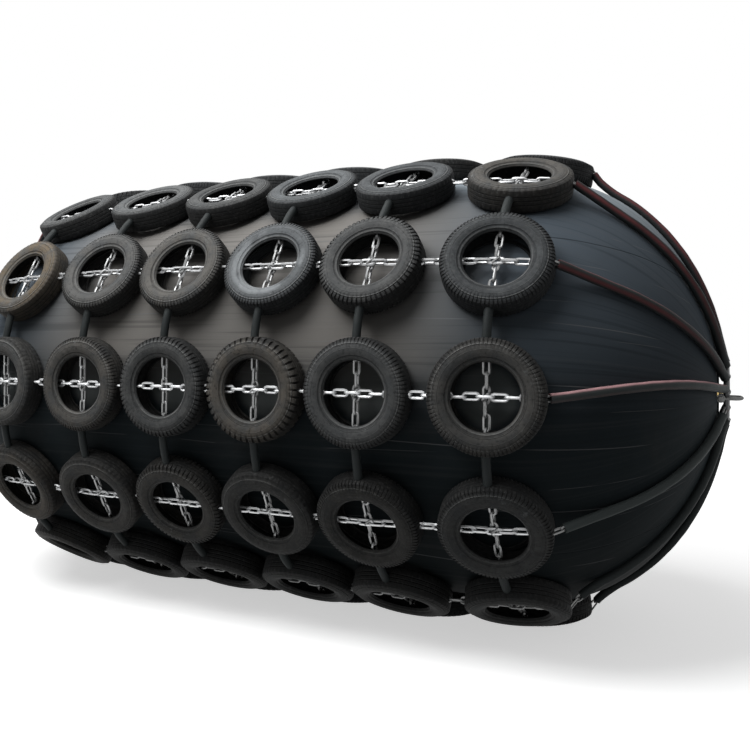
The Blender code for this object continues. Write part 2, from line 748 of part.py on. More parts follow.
def main():
    """Build the whole fender."""
    clear_scene()
    finishes = {
        "body": make_material("body_rubber", (0.035, 0.038, 0.042), 0.55, 0.0),
        "tyre": make_material("tyre_rubber", (0.045, 0.043, 0.040), 0.75, 0.0),
        "sleeve": make_material("sleeve_rubber", (0.040, 0.036, 0.036), 0.6, 0.0),
        "steel": make_material("painted_steel", (0.06, 0.062, 0.065), 0.5, 0.6),
        "galvanised": make_material("galvanised_steel", (0.55, 0.57, 0.58), 0.4, 1.0),
        "brass": make_material("valve_brass", (0.62, 0.47, 0.22), 0.35, 1.0),
        "lever": make_material("lever_paint", (0.45, 0.06, 0.04), 0.5, 0.0),
    }
    build_body(finishes)
    build_net(finishes)
    for side in (1, -1):
        build_end(finishes, side)
    build_valves(finishes)


main()
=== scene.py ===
"""Looks of a floating pneumatic ship fender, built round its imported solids.

The fender lies along X on pale ground. Everything new is a surface worked out with numpy: profiles turned
about an axis, tubes carried along a path, and chain links laid one by one. Row 01 of the tyres faces -Y, and
the rows go up from there in steps of 30 degrees.
"""
import logging
import math
from dataclasses import dataclass, field
from enum import Enum

import bmesh
import bpy
import numpy as np
from mathutils import Matrix, Vector


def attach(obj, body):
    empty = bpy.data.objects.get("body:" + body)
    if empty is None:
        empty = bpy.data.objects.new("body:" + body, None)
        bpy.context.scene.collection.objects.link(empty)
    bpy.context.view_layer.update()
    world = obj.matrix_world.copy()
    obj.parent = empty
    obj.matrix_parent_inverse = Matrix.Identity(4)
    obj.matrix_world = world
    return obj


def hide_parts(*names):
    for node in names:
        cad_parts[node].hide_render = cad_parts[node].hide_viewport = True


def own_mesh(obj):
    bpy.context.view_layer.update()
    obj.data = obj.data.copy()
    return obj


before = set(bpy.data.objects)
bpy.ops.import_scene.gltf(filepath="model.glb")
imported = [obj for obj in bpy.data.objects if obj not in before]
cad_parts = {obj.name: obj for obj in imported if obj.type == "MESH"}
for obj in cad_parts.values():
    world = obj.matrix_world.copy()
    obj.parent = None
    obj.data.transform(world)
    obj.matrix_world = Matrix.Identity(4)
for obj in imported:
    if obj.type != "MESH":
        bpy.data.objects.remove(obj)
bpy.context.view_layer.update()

log = logging.getLogger("fender")

Colour = tuple[float, float, float]
ROOT_BODY = "fender"
X_AXIS, Y_AXIS, Z_AXIS = np.eye(3)


class End(Enum):
    """The two ends of the fender, with the sign of their side of the X axis."""

    RIGHT = 1
    LEFT = -1

    @property
    def word(self) -> str:
        """The end's name in the names of its pieces."""
        return self.name.lower()

    @property
    def mirror(self) -> np.ndarray:
        """The 4 by 4 matrix that takes the right end's shapes to this end."""
        return np.diag([self.value, 1, 1, 1.0])


class Ray(Enum):
    """The sockets of the Light Path node that see the pale backdrop."""

    CAMERA = "Is Camera Ray"
    GLOSSY = "Is Glossy Ray"
    TRANSMISSION = "Is Transmission Ray"


class Tread(Enum):
    """Tread patterns of the used tyres: how many lugs stand round the edge, and how deep their gaps are."""

    ROAD = (56, 0.002)
    FINE = (84, 0.007)
    LUG = (64, 0.010)
    BLOCK = (46, 0.014)

    @property
    def lugs(self) -> int:
        """The number of lugs."""
        return self.value[0]

    @property
    def depth(self) -> float:
        """The depth of the gaps in metres."""
        return self.value[1]


@dataclass(frozen=True)
class Sizes:
    """Sizes in metres that the sub-assemblies share, as the solids have them."""

    body_radius: float = 2.25
    straight_half: float = 2.65
    dome_depth: float = 1.85
    rim_radius: float = 0.40
    lip_x: float = 4.3805
    flange_face: float = 4.4191
    pad_height: float = 0.003
    clearance: float = 0.0003
    ring_plane: float = 4.5491
    axis_height: float = 2.5183
    row_count: int = 12
    tyre_radius: float = 0.505
    tyre_width: float = 0.268
    tyre_xs: tuple[float, ...] = (-2.745, -1.59, -0.53, 0.53, 1.59, 2.745)
    chain_height: float = 0.172
    cross_chain_height: float = 0.150
    sleeve_height: float = 0.165
    tow_ring_radius: float = 0.27
    tow_bar_radius: float = 0.025

    @property
    def row_step(self) -> float:
        """The angle from one row to the next."""
        return 2 * math.pi / self.row_count

    @property
    def tow_bar_circle(self) -> float:
        """The radius at which the middle of the tow ring's bar runs past the shackle."""
        return self.tow_ring_radius * math.cos(math.pi / 24)

    @property
    def valve_foot(self) -> float:
        """Where the valves stand on the pads of their flanges."""
        return self.flange_face + self.pad_height + self.clearance

    def dome_radius(self, x: float) -> float:
        """Radius of the body at x: that of the barrel, or of an ellipse over the dome."""
        over = max(0.0, abs(x) - self.straight_half) / self.dome_depth
        return self.body_radius * math.sqrt(max(0.0, 1.0 - over * over))

    def dome_line(self, t: np.ndarray, inwards: float = 0.0) -> np.ndarray:
        """Points (straight + depth sin t, radius cos t) of the dome, or of one that lies inwards of it."""
        return np.stack([self.straight_half + (self.dome_depth - inwards) * np.sin(t),
                         (self.body_radius - inwards) * np.cos(t)], 1)


SIZES = Sizes()


@dataclass
class Surface:
    """A mesh in the making: points, faces of any size, corner UVs and named values at the points."""

    points: np.ndarray
    corners: np.ndarray
    counts: np.ndarray
    uvs: np.ndarray
    values: dict[str, np.ndarray] = field(default_factory=dict)

    @classmethod
    def grid(cls, points: np.ndarray, close_u: bool = False, close_v: bool = False,
             values: dict[str, np.ndarray] | None = None) -> "Surface":
        """Quads between neighbouring points of a two-parameter grid.

        Args:
            points: An array of shape (rows, columns, 3).
            close_u: Whether the last row joins the first.
            close_v: Whether the last column joins the first.
            values: Named arrays of shape (rows, columns).

        Returns:
            The surface, with UVs that run from 0 to 1 along each parameter.
        """
        rows, columns = points.shape[:2]
        u = np.arange(rows if close_u else rows - 1)
        v = np.arange(columns if close_v else columns - 1)
        uu, vv = np.meshgrid(u, v, indexing="ij")
        ring_u = np.stack([uu, uu + 1, uu + 1, uu], -1).reshape(-1, 4)
        ring_v = np.stack([vv, vv, vv + 1, vv + 1], -1).reshape(-1, 4)
        index = (ring_u % rows) * columns + ring_v % columns
        uvs = np.stack([ring_u / max(len(u), 1), ring_v / max(len(v), 1)], -1).reshape(-1, 2)
        flat = {name: np.broadcast_to(value, (rows, columns)).reshape(-1)
                for name, value in (values or {}).items()}
        return cls(points.reshape(-1, 3), index.reshape(-1), np.full(len(index), 4), uvs, flat)

    @classmethod
    def disc(cls, ring: np.ndarray) -> "Surface":
        """One flat face over a ring of points, of shape (count, 3)."""
        count = len(ring)
        return cls(ring.copy(), np.arange(count), np.array([count]), np.zeros((count, 2)))

    @classmethod
    def capped(cls, rings: np.ndarray) -> "Surface":
        """A skin over closed rings of points, with a flat face on the first ring and on the last."""
        return cls.merged([cls.grid(rings, close_v=True), cls.disc(rings[0]), cls.disc(rings[-1])])

    def moved(self, matrix: np.ndarray) -> "Surface":
        """A copy under a 4 by 4 matrix."""
        points = self.points @ matrix[:3, :3].T + matrix[:3, 3]
        return Surface(points, self.corners, self.counts, self.uvs, dict(self.values))

    def repeated(self, matrices: np.ndarray) -> "Surface":
        """This surface several times over.

        Args:
            matrices: One for each copy, of shape (copies, 4, 4).

        Returns:
            All copies as one surface.
        """
        copies, size = len(matrices), len(self.points)
        points = np.einsum("nij,pj->npi", matrices[:, :3, :3], self.points) + matrices[:, None, :3, 3]
        corners = (self.corners[None, :] + size * np.arange(copies)[:, None]).reshape(-1)
        values = {name: np.tile(value, copies) for name, value in self.values.items()}
        return Surface(points.reshape(-1, 3), corners, np.tile(self.counts, copies),
                       np.tile(self.uvs, (copies, 1)), values)

    def marked(self, **values: float) -> "Surface":
        """This surface with a value that is the same at all of its points."""
        for name, value in values.items():
            self.values[name] = np.full(len(self.points), value)
        return self

    @staticmethod
    def merged(parts: list["Surface"]) -> "Surface":
        """Several surfaces as one mesh.

        Args:
            parts: The surfaces.

        Returns:
            All of them. A value that a part lacks is 0 there.
        """
        names = sorted({name for part in parts for name in part.values})
        offsets = np.cumsum([0] + [len(part.points) for part in parts])
        return Surface(
            np.concatenate([part.points for part in parts]),
            np.concatenate([part.corners + start for part, start in zip(parts, offsets)]),
            np.concatenate([part.counts for part in parts]),
            np.concatenate([part.uvs for part in parts]),
            {name: np.concatenate([part.values.get(name, np.zeros(len(part.points))) for part in parts])
             for name in names})

    def to_object(self, name: str, material: bpy.types.Material, crease: float = 40.0,
                  weld: float = 0.00001) -> bpy.types.Object:
        """The surface as an object at the origin, with its normals out.

        Args:
            name: The piece's name.
            material: Its finish.
            crease: The angle in degrees past which an edge is sharp.
            weld: The distance under which points become one, or 0 to leave them.

        Returns:
            The new object.
        """
        mesh = bpy.data.meshes.new(name)
        mesh.vertices.add(len(self.points))
        mesh.vertices.foreach_set("co", self.points.astype(np.float32).reshape(-1))
        mesh.loops.add(len(self.corners))
        mesh.loops.foreach_set("vertex_index", self.corners.astype(np.int32))
        mesh.polygons.add(len(self.counts))
        starts = np.concatenate([[0], np.cumsum(self.counts)[:-1]])
        mesh.polygons.foreach_set("loop_start", starts.astype(np.int32))
        mesh.update(calc_edges=True)
        layer = mesh.uv_layers.new(name="surface")
        layer.uv.foreach_set("vector", self.uvs.astype(np.float32).reshape(-1))
        for key, value in self.values.items():
            mesh.attributes.new(key, "FLOAT", "POINT").data.foreach_set("value", value.astype(np.float32))
        work = bmesh.new()
        work.from_mesh(mesh)
        if weld:
            bmesh.ops.remove_doubles(work, verts=work.verts, dist=weld)
        bmesh.ops.recalc_face_normals(work, faces=work.faces)
        work.to_mesh(mesh)
        work.free()
        mesh.shade_smooth()
        mesh.set_sharp_from_angle(angle=math.radians(crease))
        mesh.materials.append(material)
        item = bpy.data.objects.new(name, mesh)
        bpy.context.scene.collection.objects.link(item)
        return item


def turn_about(axis: str, angle: float) -> np.ndarray:
    """A 4 by 4 turn, whose matrix has cos and -sin in one row and sin and cos in the other.

    Args:
        axis: "x", "y" or "z".
        angle: In radians. A positive one takes +Y towards +Z about X, and so on in turn.

    Returns:
        The matrix.
    """
    first, second = ("xyz".index(axis) + 1) % 3, ("xyz".index(axis) + 2) % 3
    matrix = np.eye(4)
    matrix[first, first] = matrix[second, second] = math.cos(angle)
    matrix[first, second], matrix[second, first] = -math.sin(angle), math.sin(angle)
    return matrix


def shift_by(x: float, y: float, z: float) -> np.ndarray:
    """A 4 by 4 move."""
    matrix = np.eye(4)
    matrix[:3, 3] = (x, y, z)
    return matrix


def row_matrix(index: int) -> np.ndarray:
    """From the top row's own frame, with Z out of the body, to the row of that index, from 0."""
    return shift_by(0, 0, SIZES.axis_height) @ turn_about("x", math.pi / 2 - index * SIZES.row_step)


def full_turn(count: int) -> np.ndarray:
    """Evenly spaced angles round a circle."""
    return np.linspace(0, 2 * np.pi, count, endpoint=False)


def unit(vectors: np.ndarray) -> np.ndarray:
    """Vectors of shape (count, size), each made 1 long."""
    return vectors / np.linalg.norm(vectors, axis=1, keepdims=True)


def run_along(line: np.ndarray) -> np.ndarray:
    """How far along a line each of its points is."""
    return np.concatenate([[0], np.cumsum(np.linalg.norm(np.diff(line, axis=0), axis=1))])


def points_at(line: np.ndarray, distances: np.ndarray) -> np.ndarray:
    """The points at given distances along a line."""
    run = run_along(line)
    return np.stack([np.interp(distances, run, column) for column in line.T], 1)


def spun(x: np.ndarray, radius: np.ndarray, angle: np.ndarray) -> np.ndarray:
    """Points (x, r cos a, r sin a), in a row for each x and a column for each angle."""
    y, z = radius * np.cos(angle), radius * np.sin(angle)
    return np.stack([np.broadcast_to(x[:, None], y.shape), y, z], -1)


def lathe(profile: np.ndarray | list[tuple[float, float]], sides: int, closed: bool = True,
          at: float = 0.0) -> Surface:
    """A profile turned about X.

    Each point is (x, r cos a, r sin a) for a point (x, r) of the profile and the angle a. A profile that
    starts and ends at the axis is closed by flat caps there.

    Args:
        profile: Points (x, r), of shape (count, 2).
        sides: How many steps make the full turn.
        closed: Whether the profile's last point joins its first.
        at: Where on X the profile starts to count.

    Returns:
        The turned surface.
    """
    x, radius = np.hsplit(np.asarray(profile, float), 2)
    points = spun(x[:, 0] + at, radius, full_turn(sides))
    return Surface.grid(points, close_u=True, close_v=True) if closed else Surface.capped(points)


def tube(path: np.ndarray, radius: np.ndarray | float, across: np.ndarray, sides: int,
         bore: float = 0.0) -> Surface:
    """A round tube carried along a path: each point is p + r (cos a side + sin a up).

    The sides keep close to one direction, and up is square to them and to the path.

    Args:
        path: Points of shape (count, 3).
        radius: The radius, or one for each point.
        across: The direction that the sides keep close to.
        sides: How many corners a section has.
        bore: The radius of the hole in its ends, or 0 for flat ends.

    Returns:
        The tube, closed at both ends.
    """
    tangent = unit(np.gradient(path, axis=0))
    side = unit(across - tangent * (tangent @ across)[:, None])
    up = np.cross(tangent, side)
    angle = full_turn(sides)[:, None]
    rim = side[:, None] * np.cos(angle) + up[:, None] * np.sin(angle)
    rings = path[:, None] + rim * np.broadcast_to(radius, len(path))[:, None, None]
    if bore:
        near, far = path[0] + rim[0] * bore, path[-1] + rim[-1] * bore
        rings = np.concatenate([[near + tangent[0] * bore, near], rings, [far, far - tangent[-1] * bore]])
    return Surface.capped(rings)


def noise_table(seed: int, *shape: int) -> np.ndarray:
    """Seeded values from -1 to 1, the same at each run."""
    return np.random.default_rng(seed).uniform(-1, 1, shape)


class Wire:
    """A shader socket that takes part in arithmetic, and adds a Math node for each step."""

    def __init__(self, bench: "Bench", socket: bpy.types.NodeSocket) -> None:
        """Wraps a socket of a bench's material."""
        self.bench = bench
        self.socket = socket

    def math(self, operation: str, *others: "Wire | float") -> "Wire":
        """A Math node of this socket and up to two more values."""
        return self.bench.node("ShaderNodeMath", {"operation": operation}, **{
            str(i): value for i, value in enumerate((self, *others))})

    def __add__(self, other: "Wire | float") -> "Wire":
        """Sum."""
        return self.math("ADD", other)

    __radd__ = __add__

    def __mul__(self, other: "Wire | float") -> "Wire":
        """Product."""
        return self.math("MULTIPLY", other)

    __rmul__ = __mul__

    def __sub__(self, other: "Wire | float") -> "Wire":
        """Difference."""
        return self.math("SUBTRACT", other)

    def __rsub__(self, other: float) -> "Wire":
        """Difference from a number."""
        return self.math("MULTIPLY", -1.0) + other

    def __truediv__(self, other: "Wire | float") -> "Wire":
        """Quotient."""
        return self.math("DIVIDE", other)

    def band(self, low: float, high: float, out_low: float = 0.0, out_high: float = 1.0) -> "Wire":
        """A smooth step from out_low below low to out_high above high."""
        return self.bench.node("ShaderNodeMapRange", {"interpolation_type": "SMOOTHSTEP"}, Value=self,
                               **{"From Min": low, "From Max": high, "To Min": out_low, "To Max": out_high})

    def ridge(self, centre: float, half: float) -> "Wire":
        """1 where the value is at centre, falling to 0 at half a width away."""
        return (self - centre).math("ABSOLUTE").band(0.0, half, 1.0, 0.0)

    def clamped(self) -> "Wire":
        """The value kept between 0 and 1."""
        return self.bench.node("ShaderNodeClamp", {}, Value=self)


class Bench:
    """The node tree of a material or of the world, with one way to add nodes."""

    def __init__(self, owner: str | bpy.types.World) -> None:
        """Makes the material of that name, or opens the world."""
        self.owner = bpy.data.materials.new(owner) if isinstance(owner, str) else owner
        self.owner.use_nodes = True
        self.tree = self.owner.node_tree

    def plug(self, socket: bpy.types.NodeSocket, value: object) -> None:
        """Links a wire to a socket, or sets the socket's own value.

        Args:
            socket: The input.
            value: A wire, a number or a tuple. A colour may lack its alpha.
        """
        if isinstance(value, Wire):
            self.tree.links.new(value.socket, socket)
        elif isinstance(value, tuple) and len(value) == 3 and socket.type == "RGBA":
            socket.default_value = (*value, 1.0)
        else:
            socket.default_value = value

    def node(self, kind: str, settings: dict[str, object], output: int | str = 0, **inputs: object) -> Wire:
        """Adds a node.

        Args:
            kind: The node's type.
            settings: Its own properties, set first.
            output: The index or name of the output to hand back.
            **inputs: A value or wire for each socket, by name or by index in digits.

        Returns:
            The output as a wire.
        """
        made = self.tree.nodes.new(kind)
        for key, value in settings.items():
            setattr(made, key, value)
        for key, value in inputs.items():
            self.plug(made.inputs[int(key) if key.isdigit() else key], value)
        return Wire(self, made.outputs[output])

    def place(self) -> Wire:
        """Object coordinates in metres."""
        return self.node("ShaderNodeTexCoord", {}, "Object")

    def value(self, name: str) -> Wire:
        """A named value of the mesh."""
        return self.node("ShaderNodeAttribute", {"attribute_name": name}, "Fac")

    def noise(self, where: Wire, scale: float, detail: float = 4.0, rough: float = 0.55,
              twist: float = 0.0) -> Wire:
        """Cloudy noise from 0 to 1."""
        return self.node("ShaderNodeTexNoise", {}, Vector=where, Scale=scale, Detail=detail,
                         Roughness=rough, Distortion=twist)

    def mix(self, factor: Wire | float, first: object, second: object) -> Wire:
        """A colour between two colours."""
        return self.node("ShaderNodeMix", {"data_type": "RGBA"}, 2, **{"0": factor, "6": first, "7": second})

    def layered(self, colour: Wire | Colour, *layers: tuple[Wire, Colour]) -> Wire:
        """Lays colours over a first one.

        Args:
            colour: The lowest colour.
            *layers: Factor and colour of each layer, from the lowest up.

        Returns:
            The colour that is seen.
        """
        for factor, over in layers:
            colour = self.mix(factor, colour, over)
        return colour

    def relief(self, *layers: tuple[Wire, float, float]) -> Wire:
        """Bends the normal by one height after the other.

        Args:
            *layers: A height between 0 and 1, the distance in metres that it stands for, and its strength.

        Returns:
            The bent normal.
        """
        under: dict[str, Wire] = {}
        for height, distance, strength in layers:
            under["Normal"] = self.node("ShaderNodeBump", {}, Height=height, Distance=distance,
                                        Strength=strength, **under)
        return under["Normal"]

    def finish(self, **inputs: object) -> bpy.types.Material:
        """Sets the shader's sockets.

        Args:
            **inputs: A value or wire for each socket, with _ for a space in its name.

        Returns:
            The material.
        """
        shader = self.tree.nodes["Principled BSDF"]
        for key, value in inputs.items():
            self.plug(shader.inputs[key.replace("_", " ")], value)
        return self.owner


@dataclass(frozen=True)
class BodyRubber:
    """Charcoal rubber sheet with lengthwise wrap lines, a seam on each flank of a dome, dust and scratches.

    Its colour also paints light and shade: a bluish sheen over the upper half with a brighter band on top,
    paler upper flanks, darkening towards the bottom, and paler rubber inside the tyres' openings at
    mid-height.

    Its patterns run on x and on the direction out from the axis, which has no seam and draws together
    towards the mouths as the sheets do. Seams and scratches keep their height over the axis divided by the
    square root of the body's radius, so they sink half as fast as the dome does.
    """

    axis_height: float = SIZES.axis_height
    radius: float = SIZES.body_radius
    seam_drift: float = 0.98

    def material(self) -> bpy.types.Material:
        """Builds the finish.

        Returns:
            The material.
        """
        bench = Bench("body_rubber")
        spot = bench.place()
        x, y, z = (bench.node("ShaderNodeSeparateXYZ", {}, axis, Vector=spot) for axis in range(3))
        z = z - self.axis_height
        out = (y * y + z * z).math("SQRT")
        side, rise, reach = y / out, z / out, x.math("ABSOLUTE")
        drift = z / out.math("SQRT")

        def sheet(along: float, around: float, detail: float, rough: float = 0.55) -> Wire:
            """Noise stretched on the sheets, with a scale along the axis and one round it."""
            size = around * self.radius
            place = bench.node("ShaderNodeCombineXYZ", {}, X=x * along, Y=side * size, Z=rise * size)
            return bench.noise(place, 1.0, detail, rough)

        def scratches(often: float, slope: float, half: float, where: Wire) -> Wire:
            """Thin lengthwise lines on the flanks, at a slope, where a mask has them."""
            lines = drift * often + reach * slope + swerve
            return lines.math("FRACT").ridge(0.5, half) * where * flank_only

        clouds = bench.noise(spot, 0.8, 5.0, 0.6, 0.4)
        grain = bench.noise(spot, 70.0, 3.0, 0.6)
        fine = sheet(0.30, 15.0, 3.0, 0.6)
        wraps = sheet(0.22, 3.2, 2.0, 0.5)
        swerve = sheet(0.25, 0.4, 1.0) * 0.35
        flank_only = rise.math("ABSOLUTE").band(0.92, 0.75)
        scratch = scratches(2.6, 0.05, 0.014, sheet(0.75, 1.9, 2.0, 0.5).band(0.50, 0.58))
        second = scratches(4.4, -0.07, 0.018, sheet(1.3, 2.6, 2.0, 0.5).band(0.52, 0.60))
        over = (reach - SIZES.straight_half).math("MAXIMUM", 0.0)
        wander = sheet(0.9, 0.5, 2.0) * 0.03
        seam = (drift.math("ABSOLUTE") + wander).ridge(self.seam_drift, 0.006) * over.band(0.2, 0.5)
        high = z * (1.0 / self.radius)
        waist = rise * self.radius
        # Painted light: the rubber inside the openings of the tyres at mid-height on each side is made paler,
        # against the shade that the tyres cast there.
        painted_opening_light = sum(((reach - place) * (reach - place) + waist * waist).math("SQRT").band(0.31, 0.21)
                   for place in SIZES.tyre_xs[3:])
        flank = reach.band(3.1, 1.4) * rise.band(-0.10, 0.20) * rise.band(0.95, 0.75)
        # Partly brown dust and partly painted light: the upper flanks of the barrel are made paler and
        # browner.
        dust_and_painted_light = (flank * (0.72 + clouds * 0.30) + clouds.band(0.55, 0.8) * 0.10).clamped()
        # Painted shade: the body darkens towards the bottom.
        painted_underside_shade = high.band(-0.22, -0.75) * 0.75
        # Painted reflection: a pale bluish sheen over the upper half of the body.
        painted_sky_sheen = high.band(-0.22, 0.52) * (0.78 + clouds * 0.35)
        # Painted sheen: a brighter band along the very top of the body.
        painted_top_sheen = rise.band(0.86, 0.985) * (0.50 + clouds * 0.45)
        colour = bench.layered(
            bench.mix(clouds, (0.0078, 0.0112, 0.0128), (0.0138, 0.0186, 0.0210)),
            (painted_underside_shade, (0.0035, 0.0048, 0.0052)),
            (painted_sky_sheen, (0.066, 0.081, 0.097)),
            (dust_and_painted_light, (0.158, 0.149, 0.138)),
            (painted_top_sheen, (0.255, 0.290, 0.315)),
            (fine.band(0.50, 0.68) * 0.12, (0.085, 0.088, 0.090)),
            (fine.band(0.47, 0.33) * 0.28, (0.006, 0.008, 0.009)),
            ((scratch * 0.75 + second * 0.50).clamped(), (0.14, 0.145, 0.15)),
            (seam * 0.60, (0.003, 0.004, 0.005)),
            (painted_opening_light * (0.26 + clouds * 0.30), (0.150, 0.160, 0.155)))
        normal = bench.relief((wraps, 0.010, 0.5), (fine, 0.0030, 0.6), (1.0 - seam, 0.004, 0.8),
                              (grain, 0.0008, 0.4))
        return bench.finish(Base_Color=colour, Roughness=0.64 + dust_and_painted_light * 0.18 + grain * 0.06, Normal=normal,
                            Specular_IOR_Level=0.045)


@dataclass(frozen=True)
class TyreRubber:
    """Used tyre rubber: worn grey sidewalls, dust and each tyre's own tone, with painted shade in the gaps
    between the lugs and over the tread and inside, and a painted bluish sheen on the palest sidewalls.
    """

    rib_places: tuple[float, ...] = (0.044, 0.004, -0.036)

    def material(self) -> bpy.types.Material:
        """Builds the finish.

        Returns:
            The material.
        """
        bench = Bench("tyre_rubber")
        spot = bench.place()
        reach, axial, tone, brown, pit = map(bench.value, ("reach", "axial", "tone", "brown", "pit"))
        patches = bench.noise(spot, 5.5, 5.0, 0.62, 0.3)
        blots = bench.noise(spot, 2.3, 3.0, 0.6)
        grain = bench.noise(spot, 90.0, 3.0, 0.6)
        mottle = bench.noise(spot, 34.0, 4.0, 0.7)
        bulge = axial.math("ABSOLUTE").band(0.085, 0.100)
        sidewall = reach.band(0.290, 0.300) * reach.band(0.486, 0.458) * bulge
        # The tone, which for the rows in view also carries painted light and shade, makes the rubber paler.
        wear = (tone * 0.80 + patches.band(0.40, 0.75) * 0.30).clamped()
        dirt = (brown * (0.25 + patches.band(0.3, 0.65) * 0.75) * (0.35 + sidewall * 0.65)).clamped()
        edge = reach.ridge(0.452, 0.009) + reach.ridge(0.314, 0.012) + reach.ridge(0.405, 0.004) * 0.5
        groove = reach.ridge(0.336, 0.008) + reach.ridge(0.437, 0.006) * 0.8
        scuff = bench.noise(spot, 14.0, 4.0, 0.7).band(0.58, 0.76) * blots.band(0.5, 0.65)
        # Partly wear and partly painted sheen: a pale bluish sector on the inner sidewall of the palest
        # tyres.
        wear_and_painted_sheen = blots.band(0.47, 0.60) * tone.band(0.75, 0.95) * reach.band(0.43, 0.36)
        bead = reach.band(0.303, 0.293)
        ribs = sum(axial.ridge(place, 0.007) for place in self.rib_places)
        # Painted shade: the gaps between the lugs and the thin grooves round the crown are darkened.
        gap_shade = ((ribs * reach.band(0.5035, 0.5046)) + pit * 0.95).clamped()
        colour = bench.layered(
            bench.mix(wear, (0.0100, 0.0114, 0.0122), (0.098, 0.105, 0.110)),
            # Painted shade: the tread, the bead and the inside of the tyre, away from the sidewall, are
            # darkened.
            ((1.0 - sidewall) * 0.80, (0.0085, 0.009, 0.0095)),
            (dirt, (0.105, 0.082, 0.055)),
            ((edge * sidewall * (0.22 + wear * 0.45)).clamped(), (0.15, 0.152, 0.15)),
            ((groove * sidewall * 0.65).clamped(), (0.006, 0.0065, 0.007)),
            (mottle.band(0.52, 0.70) * 0.35, (0.095, 0.096, 0.094)),
            (mottle.band(0.48, 0.30) * 0.60, (0.007, 0.0075, 0.008)),
            (scuff * sidewall * (0.40 + tone * 0.35), (0.21, 0.22, 0.225)),
            (wear_and_painted_sheen * sidewall * (0.30 + mottle * 0.5), (0.24, 0.255, 0.265)),
            (bead * 0.7, (0.010, 0.010, 0.010)),
            (gap_shade * 0.9, (0.0035, 0.0035, 0.0035)))
        rings = (reach.ridge(0.452, 0.009) + reach.ridge(0.405, 0.004) * 0.4 + reach.ridge(0.345, 0.005) * 0.5
                 + reach.ridge(0.316, 0.014)).clamped()
        normal = bench.relief((rings, 0.009, 1.0), (1.0 - gap_shade, 0.008, 0.6),
                              (patches * 0.3 + mottle * 0.5 + grain * 0.2, 0.005, 0.6))
        return bench.finish(Base_Color=colour, Roughness=0.54 + wear * 0.16 + grain * 0.10, Normal=normal,
                            Specular_IOR_Level=0.08)


@dataclass(frozen=True)
class HoseRubber:
    """Dark hose over the chains, with a dull red cast where the value "red" asks for it, and a painted pink
    highlight along the top of some hoses.
    """

    def material(self) -> bpy.types.Material:
        """Builds the finish.

        Returns:
            The material.
        """
        bench = Bench("hose_rubber")
        spot = bench.place()
        clouds = bench.noise(spot, 3.0, 4.0, 0.6)
        rumple = bench.noise(spot, 26.0, 3.0, 0.6)
        weave = bench.noise(spot, 120.0, 2.0, 0.5)
        blotch = bench.noise(spot, 3.0, 3.0, 0.6).band(0.20, 0.70)
        colour = bench.layered(
            bench.mix(clouds.band(0.4, 0.7) * 0.6, (0.0095, 0.012, 0.0125), (0.024, 0.028, 0.028)),
            (bench.value("pale") * 0.75, (0.056, 0.066, 0.066)),
            (bench.value("red") * (0.45 + blotch * 0.55), (0.125, 0.034, 0.036)),
            # Painted highlight: a pale pink stripe along the top of the hose.
            (bench.value("stripe") * (0.55 + blotch * 0.45), (0.42, 0.24, 0.25)))
        return bench.finish(Base_Color=colour, Roughness=0.5 + clouds * 0.25, Specular_IOR_Level=0.14,
                            Normal=bench.relief((rumple, 0.008, 0.35), (weave, 0.002, 0.5)))


@dataclass(frozen=True)
class Galvanised:
    """Hot-dipped zinc: pale grey with soft spangle, duller patches, and a dark layer where "dull" asks for
    it, partly grime and partly painted shade.
    """

    name: str = "galvanised_steel"
    light: Colour = (0.62, 0.63, 0.64)
    dull: Colour = (0.34, 0.35, 0.35)
    # The dark layer: partly grime and partly painted shade.
    grime: Colour = (0.085, 0.085, 0.082)
    metallic: float = 0.75

    def material(self) -> bpy.types.Material:
        """Builds the finish.

        Returns:
            The material.
        """
        bench = Bench(self.name)
        spot = bench.place()
        spangle = bench.node("ShaderNodeTexVoronoi", {}, "Color", Vector=spot, Scale=160.0)
        shade = bench.node("ShaderNodeSeparateColor", {}, 0, Color=spangle)
        patches = bench.noise(spot, 22.0, 4.0, 0.6)
        colour = bench.layered(self.light, ((patches.band(0.48, 0.78) * 0.8).clamped(), self.dull),
                               (shade * 0.18, self.dull), (bench.value("dull") * 0.9, self.grime))
        return bench.finish(Base_Color=colour, Roughness=0.38 + patches * 0.22, Metallic=self.metallic,
                            Normal=bench.relief((bench.noise(spot, 240.0, 2.0), 0.0006, 0.5)))


@dataclass(frozen=True)
class DarkSteel:
    """Steel under dark paint, worn to bare metal and touched with rust in places."""

    paint: Colour = (0.045, 0.047, 0.050)
    worn: Colour = (0.24, 0.24, 0.235)
    rusty: Colour = (0.13, 0.06, 0.030)

    def material(self) -> bpy.types.Material:
        """Builds the finish.

        Returns:
            The material.
        """
        bench = Bench("painted_steel")
        spot = bench.place()
        wear = bench.noise(spot, 14.0, 5.0, 0.65).band(0.58, 0.70)
        rust = bench.noise(spot, 8.0, 5.0, 0.65).band(0.60, 0.74)
        return bench.finish(
            Base_Color=bench.layered(self.paint, (wear * 0.8, self.worn), (rust * 0.6, self.rusty)),
            Roughness=0.42 + rust * 0.35, Metallic=wear * 0.7,
            Normal=bench.relief((bench.noise(spot, 60.0, 4.0), 0.0012, 0.6)))


@dataclass(frozen=True)
class CastBrass:
    """Valve brass, dulled by weather in patches."""

    fresh: Colour = (0.62, 0.46, 0.20)
    aged: Colour = (0.24, 0.17, 0.085)

    def material(self) -> bpy.types.Material:
        """Builds the finish.

        Returns:
            The material.
        """
        bench = Bench("valve_brass")
        spot = bench.place()
        age = bench.noise(spot, 45.0, 5.0, 0.6).band(0.45, 0.75)
        return bench.finish(Base_Color=bench.mix(age, self.fresh, self.aged), Roughness=0.30 + age * 0.25,
                            Metallic=1.0 - age * 0.2,
                            Normal=bench.relief((bench.noise(spot, 300.0, 2.0), 0.0004, 0.5)))


